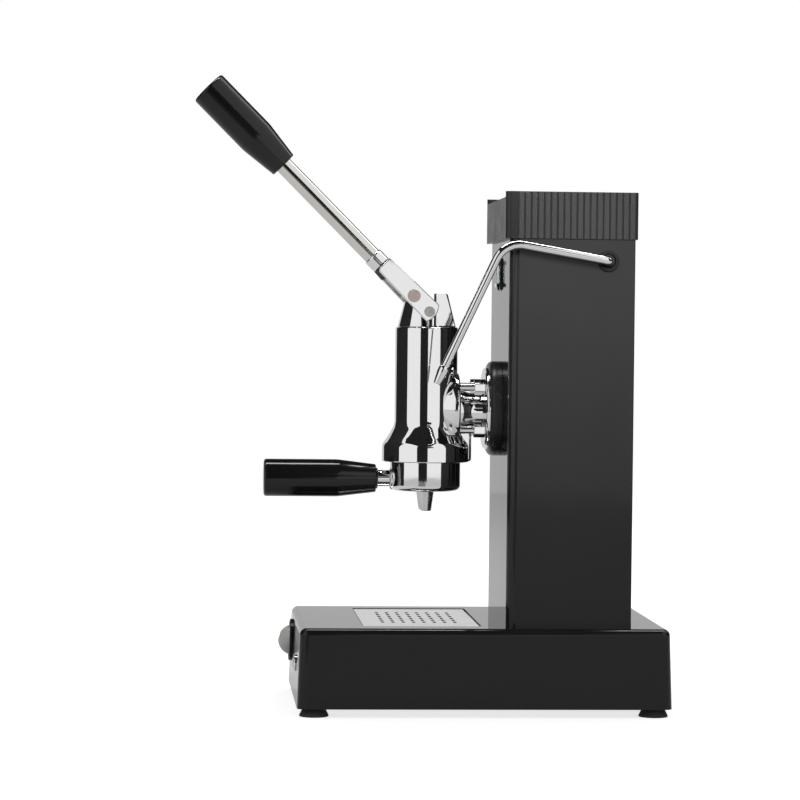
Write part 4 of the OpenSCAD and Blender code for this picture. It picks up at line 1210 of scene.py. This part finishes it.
@dataclass
class Holder:
    """The filter holder with its handle and spout, in millimetres."""

    low: float = 171.0
    radius: float = 28.2
    rim_r: float = 26.8
    rim_z: float = 201.9
    rim_high: float = 3.0
    well_r: float = 24.8
    well_z: float = 176.0
    drain_r: float = 4.55
    lug_r: Pair = (20.0, 31.0)
    lug_z: Pair = (196.55, 199.95)
    lug_sweep: float = math.radians(50)
    axis_z: float = 180.6
    boss_y: float = 28.8
    boss_r: float = 9.0
    stem_y: float = 26.4
    stem_r: float = 6.6
    tang: float = 44.0
    tang_r: float = 4.5
    ferrule: float = 1.4
    ferrule_r: float = 8.4
    grip_y: float = 40.0
    spout_r: Pair = (5.0, 7.2)
    spout_top: float = 170.9
    spout_bore: float = 2.8
    lip_y: float = -2.5
    lip_z: float = 154.6
    lip_slant: float = math.radians(-32)
    grip: Grip = field(default_factory=lambda: Grip(length=90.3))

    def cup(self) -> None:
        """Builds the holder's cup with its boss and lugs."""
        shoulder = self.rim_z - self.rim_high
        bm = turned([
            (0, self.low, 0), (self.radius, self.low, 4.6), (self.radius, shoulder, 0),
            (self.rim_r, shoulder, 0), (self.rim_r, self.rim_z, 0.3), (0, self.rim_z, 0),
        ], 128)
        boss = turned([
            (0, 10, 0), (self.boss_r, 10, 0), (self.boss_r, self.boss_y, 1.4), (0, self.boss_y, 0),
        ], 64)
        bm = carve(bm, move(boss, along((0, 0, self.axis_z), FORE)), Cut.ADD)
        (r0, r1), (z0, z1) = self.lug_r, self.lug_z
        for side in (0, math.pi):
            lug = bmesh.new()
            outline = ((r0, z0), (r1, z0), (r1, z1), (r0, z1))
            face = lug.faces.new([lug.verts.new((r, 0, z)) for r, z in outline])
            start = Matrix.Rotation(side - self.lug_sweep / 2, 3, "Z")
            bmesh.ops.rotate(lug, cent=ORIGIN, matrix=start, verts=lug.verts)
            swing(lug, face, ORIGIN, UP, self.lug_sweep, 16)
            bm = carve(bm, clean(lug), Cut.ADD)
        well = [(0, self.well_z, 0), (self.well_r, self.well_z, 1.0), (self.well_r, 210, 0), (0, 210, 0)]
        bm = carve(bm, turned(well))
        bm = carve(bm, plug(self.drain_r, 160, 190))
        piece("holder_cup", bm, CHROME, Body.HOLDER, ["holder_body"])

    def handle(self) -> None:
        """Builds the stem and the grip with its black ferrule."""
        axis = along((0, 0, self.axis_z), FORE)
        r, thin, end = self.stem_r, self.tang_r, self.grip_y - self.ferrule
        tip = self.grip_y + self.tang
        stem = turned([
            (0, self.stem_y, 0), (thin, self.stem_y, 0), (thin, self.boss_y, 0), (r, self.boss_y, 0.5),
            (r, end, 0.3), (thin, end, 0), (thin, tip, 0.5), (0, tip, 0),
        ])
        piece("handle_stem", move(stem, axis), CHROME, Body.HOLDER, ["holder_stem"])
        hole, wide = self.grip.hole, self.ferrule_r
        ring = turned([
            (hole, end, 0), (wide, end, 0.4), (wide, self.grip_y, 0.2), (hole, self.grip_y, 0),
        ], 64)
        grip = join(move(self.grip.mesh(), Matrix.Translation((0, 0, self.grip_y))), ring)
        piece("holder_handle", move(grip, axis), BAKELITE, Body.HOLDER, ["holder_grip"])

    def outlet(self) -> None:
        """Builds the tapered spout with its slanted lip."""
        bm = turned([
            (0, self.lip_z, 0), (self.spout_r[0], self.lip_z, 0.5), (self.spout_r[1], self.spout_top, 0.3),
            (self.tang_r, self.spout_top, 0), (self.tang_r, self.well_z, 0.2), (0, self.well_z, 0),
        ], 72)
        bm = carve(bm, plug(self.spout_bore, 150, 180))
        slant = Matrix.Translation((0, self.lip_y, self.lip_z)) @ Matrix.Rotation(self.lip_slant, 4, "X")
        bm = carve(bm, move(block((-20, -30, -20), (20, 0, 0)), slant))
        piece("coffee_spout", bm, CAST_STEEL, Body.HOLDER, ["spout"])

    def build(self) -> None:
        """Builds all pieces of the filter holder."""
        self.cup()
        self.handle()
        self.outlet()


@dataclass
class Steam:
    """The steam wand with its grommet, and the knob on the far side, in millimetres."""

    pivot: Point = (73.5, 136.0, 355.0)
    off: float = 10.5
    tube_r: float = 3.4
    elbow: float = 6.5
    rise: float = math.radians(9.7)
    leg: float = 83.8
    turn: float = math.radians(74.6)
    arm: float = 107.7
    bend: float = 20.0
    tip: float = 15.0
    tip_bore: float = 1.1
    knob_x: float = -77.5
    flutes: int = 8
    flute_reach: float = 21.0
    flute_r: float = 4.0

    def tube(self) -> None:
        """Builds the bent tube and its nozzle, from the elbow outwards, then tips it up."""
        reach = self.bend * math.tan(self.turn / 2)
        knee = (0, -self.leg + reach, -self.bend)
        bent = Matrix.Rotation(self.turn, 3, "X")
        out = bent @ Vector(FORE)
        bm = bmesh.new()
        bmesh.ops.create_circle(bm, cap_ends=True, segments=32, radius=self.tube_r)
        bmesh.ops.rotate(bm, cent=ORIGIN, matrix=Matrix.Rotation(math.pi / 2, 3, "Y"), verts=bm.verts)
        bmesh.ops.translate(bm, vec=(-self.off, 0, 0), verts=bm.verts)
        face = self.run(bm, bm.faces[:][0], (self.off - self.elbow, 0, 0))
        face = swing(bm, face, (-self.elbow, -self.elbow, 0), (0, 0, -1), math.pi / 2, 10)
        face = self.run(bm, face, (0, -self.leg + reach + self.elbow, 0))
        face = swing(bm, face, knee, RIGHT, self.turn, 16)
        self.run(bm, face, out * (self.arm - reach))
        clean(bm)
        start = Matrix.Translation((self.pivot[0] + self.off, *self.pivot[1:]))
        place = start @ Matrix.Rotation(-self.rise, 4, "X")
        piece("steam_pipe", move(bm, place), CHROME, Body.WAND, ["wand_tube"], flat=False)
        r, end = self.tube_r, self.tip
        tip = turned([
            (0, -0.02, 0), (r + 0.2, -0.02, 0), (r + 0.9, 1.6, 0.3), (r + 0.9, 5, 0.4),
            (r - 0.7, end, 0.4), (self.tip_bore, end, 0.2), (self.tip_bore, 5, 0), (0, 5, 0),
        ], 64)
        corner = Vector(knee) + bent @ Vector((0, 0, self.bend))
        tip = move(tip, place @ along(corner + out * (self.arm - reach), out))
        piece("steam_tip", tip, CHROME, Body.WAND, ["wand_nozzle"])

    @staticmethod
    def run(bm: Mesh, face: Face, vec: Sequence[float]) -> Face:
        """Draws the tube's end face straight on.

        Args:
            bm: Mesh of the tube.
            face: Its end face.
            vec: How far and where the face is drawn.

        Returns:
            The new end face.
        """
        grown = bmesh.ops.extrude_discrete_faces(bm, faces=[face])["faces"][0]
        bmesh.ops.translate(bm, vec=vec, verts=grown.verts[:])
        return grown

    def fittings(self) -> None:
        """Builds the rubber grommet and the fluted steam knob."""
        ring = turned([
            (5.5, -2, 0), (6.55, -2, 0), (6.55, 0, 0), (8.2, 0, 0.2), (8.2, 3, 1.3), (5.5, 3, 0.8),
        ], 64)
        ring = move(ring, along(self.pivot, RIGHT))
        piece("wand_bush", ring, DULL_RUBBER, Body.FRAME, ["wand_grommet"])
        knob = turned([
            (0, 10, 0), (3.05, 10, 0), (3.05, 0, 0), (11, 0, 0.8), (11, 3, 0.5),
            (19, 3.2, 1.5), (19, 14, 2.4), (14, 17, 2.0), (0, 17, 0),
        ])
        knob = fluted(knob, self.flutes, self.flute_reach, self.flute_r)
        knob = move(knob, along((self.knob_x, *self.pivot[1:]), LEFT))
        piece("steam_hand_knob", knob, BAKELITE, Body.STEAM, ["steam_knob"])

    def build(self) -> None:
        """Builds all pieces of the steam side."""
        self.tube()
        self.fittings()


@dataclass
class Studio:
    """Camera, lights, floor and cards of the picture, in metres."""

    eye: Point = (2.35532, -0.19018, 0.29464)
    yaw: float = math.radians(4.11)
    pitch: float = math.radians(-1.24)
    roll: float = math.radians(0.60)
    lens: float = 132.249
    sensor: float = 36.0
    clip: Pair = (0.05, 50.0)
    sky: float = 0.62
    floor_radius: float = 3.2
    floor_grey: float = 0.5
    floor_glow: float = 0.72
    floor_in_metal: float = 0.33
    card_grey: float = 0.012
    flag_sunk: float = 0.2
    paint_rough: float = 0.9

    def camera(self) -> None:
        """Sets the camera where the photograph was taken from."""
        data = bpy.data.cameras.new("camera")
        data.lens, data.sensor_width = self.lens, self.sensor
        data.clip_start, data.clip_end = self.clip
        level = math.cos(self.pitch)
        ahead = Vector((-math.cos(self.yaw) * level, math.sin(self.yaw) * level, math.sin(self.pitch)))
        right = ahead.cross(Vector(UP)).normalized()
        up = right.cross(ahead)
        tilted_right = math.cos(self.roll) * right + math.sin(self.roll) * up
        tilted_up = math.cos(self.roll) * up - math.sin(self.roll) * right
        turn = Matrix((tilted_right, tilted_up, -ahead)).transposed().to_4x4()
        made = hung("camera", data)
        made.matrix_world = Matrix.Translation(self.eye) @ turn
        bpy.context.scene.camera = made

    @staticmethod
    def seen(tree: bpy.types.NodeTree, in_metal: float) -> bpy.types.NodeSocket:
        """Adds nodes that give 1 for camera and transmission rays.

        Args:
            tree: Node tree to add to.
            in_metal: Value for glossy rays.

        Returns:
            The socket with the value.
        """
        path = tree.nodes.new("ShaderNodeLightPath")
        total = path.outputs["Is Camera Ray"]
        for label, share in (("Is Glossy Ray", in_metal), ("Is Transmission Ray", 1.0)):
            more = tree.nodes.new("ShaderNodeMath")
            more.operation = "MULTIPLY_ADD"
            more.inputs[1].default_value = share
            tree.links.new(path.outputs[label], more.inputs[0])
            tree.links.new(total, more.inputs[2])
            total = more.outputs[0]
        return total

    def world(self) -> None:
        """Makes a world that is white to the eye and in reflections, and softer as a light."""
        world = bpy.data.worlds.new("white_studio")
        world.use_nodes = True
        tree = world.node_tree
        back = tree.nodes["Background"]
        back.inputs["Color"].default_value = WHITE
        level = tree.nodes.new("ShaderNodeMapRange")
        put(level, {"To Min": self.sky, "To Max": 1.0})
        tree.links.new(self.seen(tree, 1.0), level.inputs["Value"])
        tree.links.new(level.outputs["Result"], back.inputs["Strength"])
        bpy.context.scene.world = world

    def painted(
        self, made: bpy.types.Object, name: str, grey: float, values: dict[str, float],
    ) -> bpy.types.NodeTree:
        """Gives an object of the stage a dull paint.

        Args:
            made: The object.
            name: Name of the paint.
            grey: Its grey.
            values: More inputs of its shader.

        Returns:
            The paint's node tree.
        """
        paint = bpy.data.materials.new(name)
        paint.use_nodes = True
        put(paint.node_tree.nodes["Principled BSDF"], {
            "Base Color": (grey, grey, grey, 1), "Roughness": self.paint_rough,
            "Emission Color": WHITE, **values,
        })
        made.data.materials.append(paint)
        return paint.node_tree

    def floor(self) -> None:
        """Lays the pale floor, white to the eye where nothing shades it."""
        bm = bmesh.new()
        bmesh.ops.create_circle(bm, cap_ends=True, segments=96, radius=self.floor_radius)
        made = hung("floor", filled("floor", bm))
        tree = self.painted(made, "pale_floor", self.floor_grey, {"Specular IOR Level": 0.0})
        level = tree.nodes.new("ShaderNodeMath")
        level.operation = "MULTIPLY"
        level.inputs[1].default_value = self.floor_glow
        tree.links.new(self.seen(tree, self.floor_in_metal), level.inputs[0])
        tree.links.new(level.outputs[0], tree.nodes["Principled BSDF"].inputs["Emission Strength"])

    @staticmethod
    def lamp(name: str, spot: Point, aim: Point, size: float, power: float, spread: float = 180.0) -> None:
        """Hangs one soft square lamp that reflections don't show.

        Args:
            name: Name of the lamp.
            spot: Its place.
            aim: Point that it shines at.
            size: Length of its sides.
            power: Its power, in watts.
            spread: Angle of its light, in degrees.
        """
        data = bpy.data.lights.new(name, "AREA")
        data.shape = "RECTANGLE"
        data.size = data.size_y = size
        data.energy = power
        data.spread = math.radians(spread)
        made = hung(name, data)
        made.location = spot
        made.rotation_euler = (Vector(aim) - Vector(spot)).to_track_quat("-Z", "Y").to_euler()
        made.visible_glossy = False

    def card(
        self, name: str, centre: Point, across: Point, upward: Point, size: Pair, glow: float = 0.0,
    ) -> None:
        """Hangs a card that only reflections show.

        Args:
            name: Name of the card.
            centre: Its middle.
            across: Direction of its width.
            upward: Direction of its height.
            size: Width and height.
            glow: Brightness; 0 makes a dark card.
        """
        right, up = Vector(across).normalized(), Vector(upward).normalized()
        bm = bmesh.new()
        bmesh.ops.create_grid(bm, x_segments=1, y_segments=1, size=0.5)
        bmesh.ops.scale(bm, vec=(*size, 1), verts=bm.verts)
        move(bm, Matrix.Translation(centre) @ Matrix((right, up, right.cross(up))).transposed().to_4x4())
        made = hung(name, filled(name, bm))
        self.painted(made, name, self.card_grey, {"Emission Strength": glow})
        made.visible_camera = False
        made.visible_diffuse = False
        made.visible_shadow = False

    def flag(self, name: str, azimuth: float, distance: float, width: float, high: float) -> None:
        """Stands a dark upright card on a circle round the machine.

        Args:
            name: Name of the card.
            azimuth: Its bearing from +X towards +Y, in degrees.
            distance: Its distance from the origin.
            width: Its width.
            high: Its height.
        """
        turn = math.radians(azimuth)
        spot = (distance * math.cos(turn), distance * math.sin(turn), high / 2 - self.flag_sunk)
        self.card(name, spot, (-math.sin(turn), math.cos(turn), 0), UP, (width, high))

    def build(self) -> None:
        """Builds the whole studio."""
        bpy.context.scene.view_settings.view_transform = "Standard"
        self.camera()
        self.world()
        self.floor()
        self.lamp("key", (0.75, 0.1, 0.62), (0.07, 0.1, 0.42), 0.25, 1.5, 44.0)
        self.lamp("fill", (1.3, -1.6, 1.6), (0, 0.03, 0.2), 1.4, 14.0)
        self.lamp("back", (-1.6, 0.9, 1.6), (0, 0.03, 0.2), 1.4, 14.0)
        self.flag("card_behind_camera", -12.65, 2.9, 1.45, 3.4)
        self.flag("card_front", -113.5, 2.2, 3.14, 3.0)
        self.card("card_over_camera", (2.6, 0.04, 0.9), REAR, UP, (0.6, 0.88))
        self.card("card_beside_camera", (2.6, 0.56, 1.02), REAR, UP, (0.44, 0.64))
        self.card("card_below_camera", (2.05, -0.68, 0.004), RIGHT, REAR, (1.5, 1.06), 0.2)
        self.card("card_above", (0.0, -0.3, 1.7), RIGHT, REAR, (6.2, 1.7))
        self.card("strip_above", (-0.2, 0.0, 1.65), REAR, RIGHT, (1.6, 0.3), 13.0)
        self.card("strip_behind", (-0.62, 1.12, 1.72), (0, -1, 1), (0.88, 0.34, 0.34), (1.8, 0.18), 4.5)
        self.card("flag_behind", (-2.4, 1.3, 1.7), (0, -1, 1), (0, 1, 1), (1.6, 2.6))
        self.card("card_rear", (-0.9, 2.3, 0.9), RIGHT, UP, (3.4, 1.9))
        self.card("backdrop", (-3.2, 0.0, 1.0), REAR, UP, (9.0, 2.4), 0.66)


def dress_nodes() -> None:
    """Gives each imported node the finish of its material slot, or its own."""
    for part in frame["record"]["subparts"]:
        node = frame["nodes"][part["node"]]
        node.data.materials.clear()
        finish = NODE_FINISH.get(part["node"], SLOT_FINISH[part["material_slot"]])
        node.data.materials.append(finish.material())


def main() -> None:
    """Builds the studio and the machine, piece by piece."""
    logging.basicConfig(level=logging.INFO, format="%(name)s: %(message)s")
    Studio().build()
    dress_nodes()
    for assembly in (Base(), Tower(), Group(), Lever(), Holder(), Steam()):
        assembly.build()
        LOG.info("built %s", type(assembly).__name__)
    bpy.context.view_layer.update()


if __name__ == "__main__":
    main()
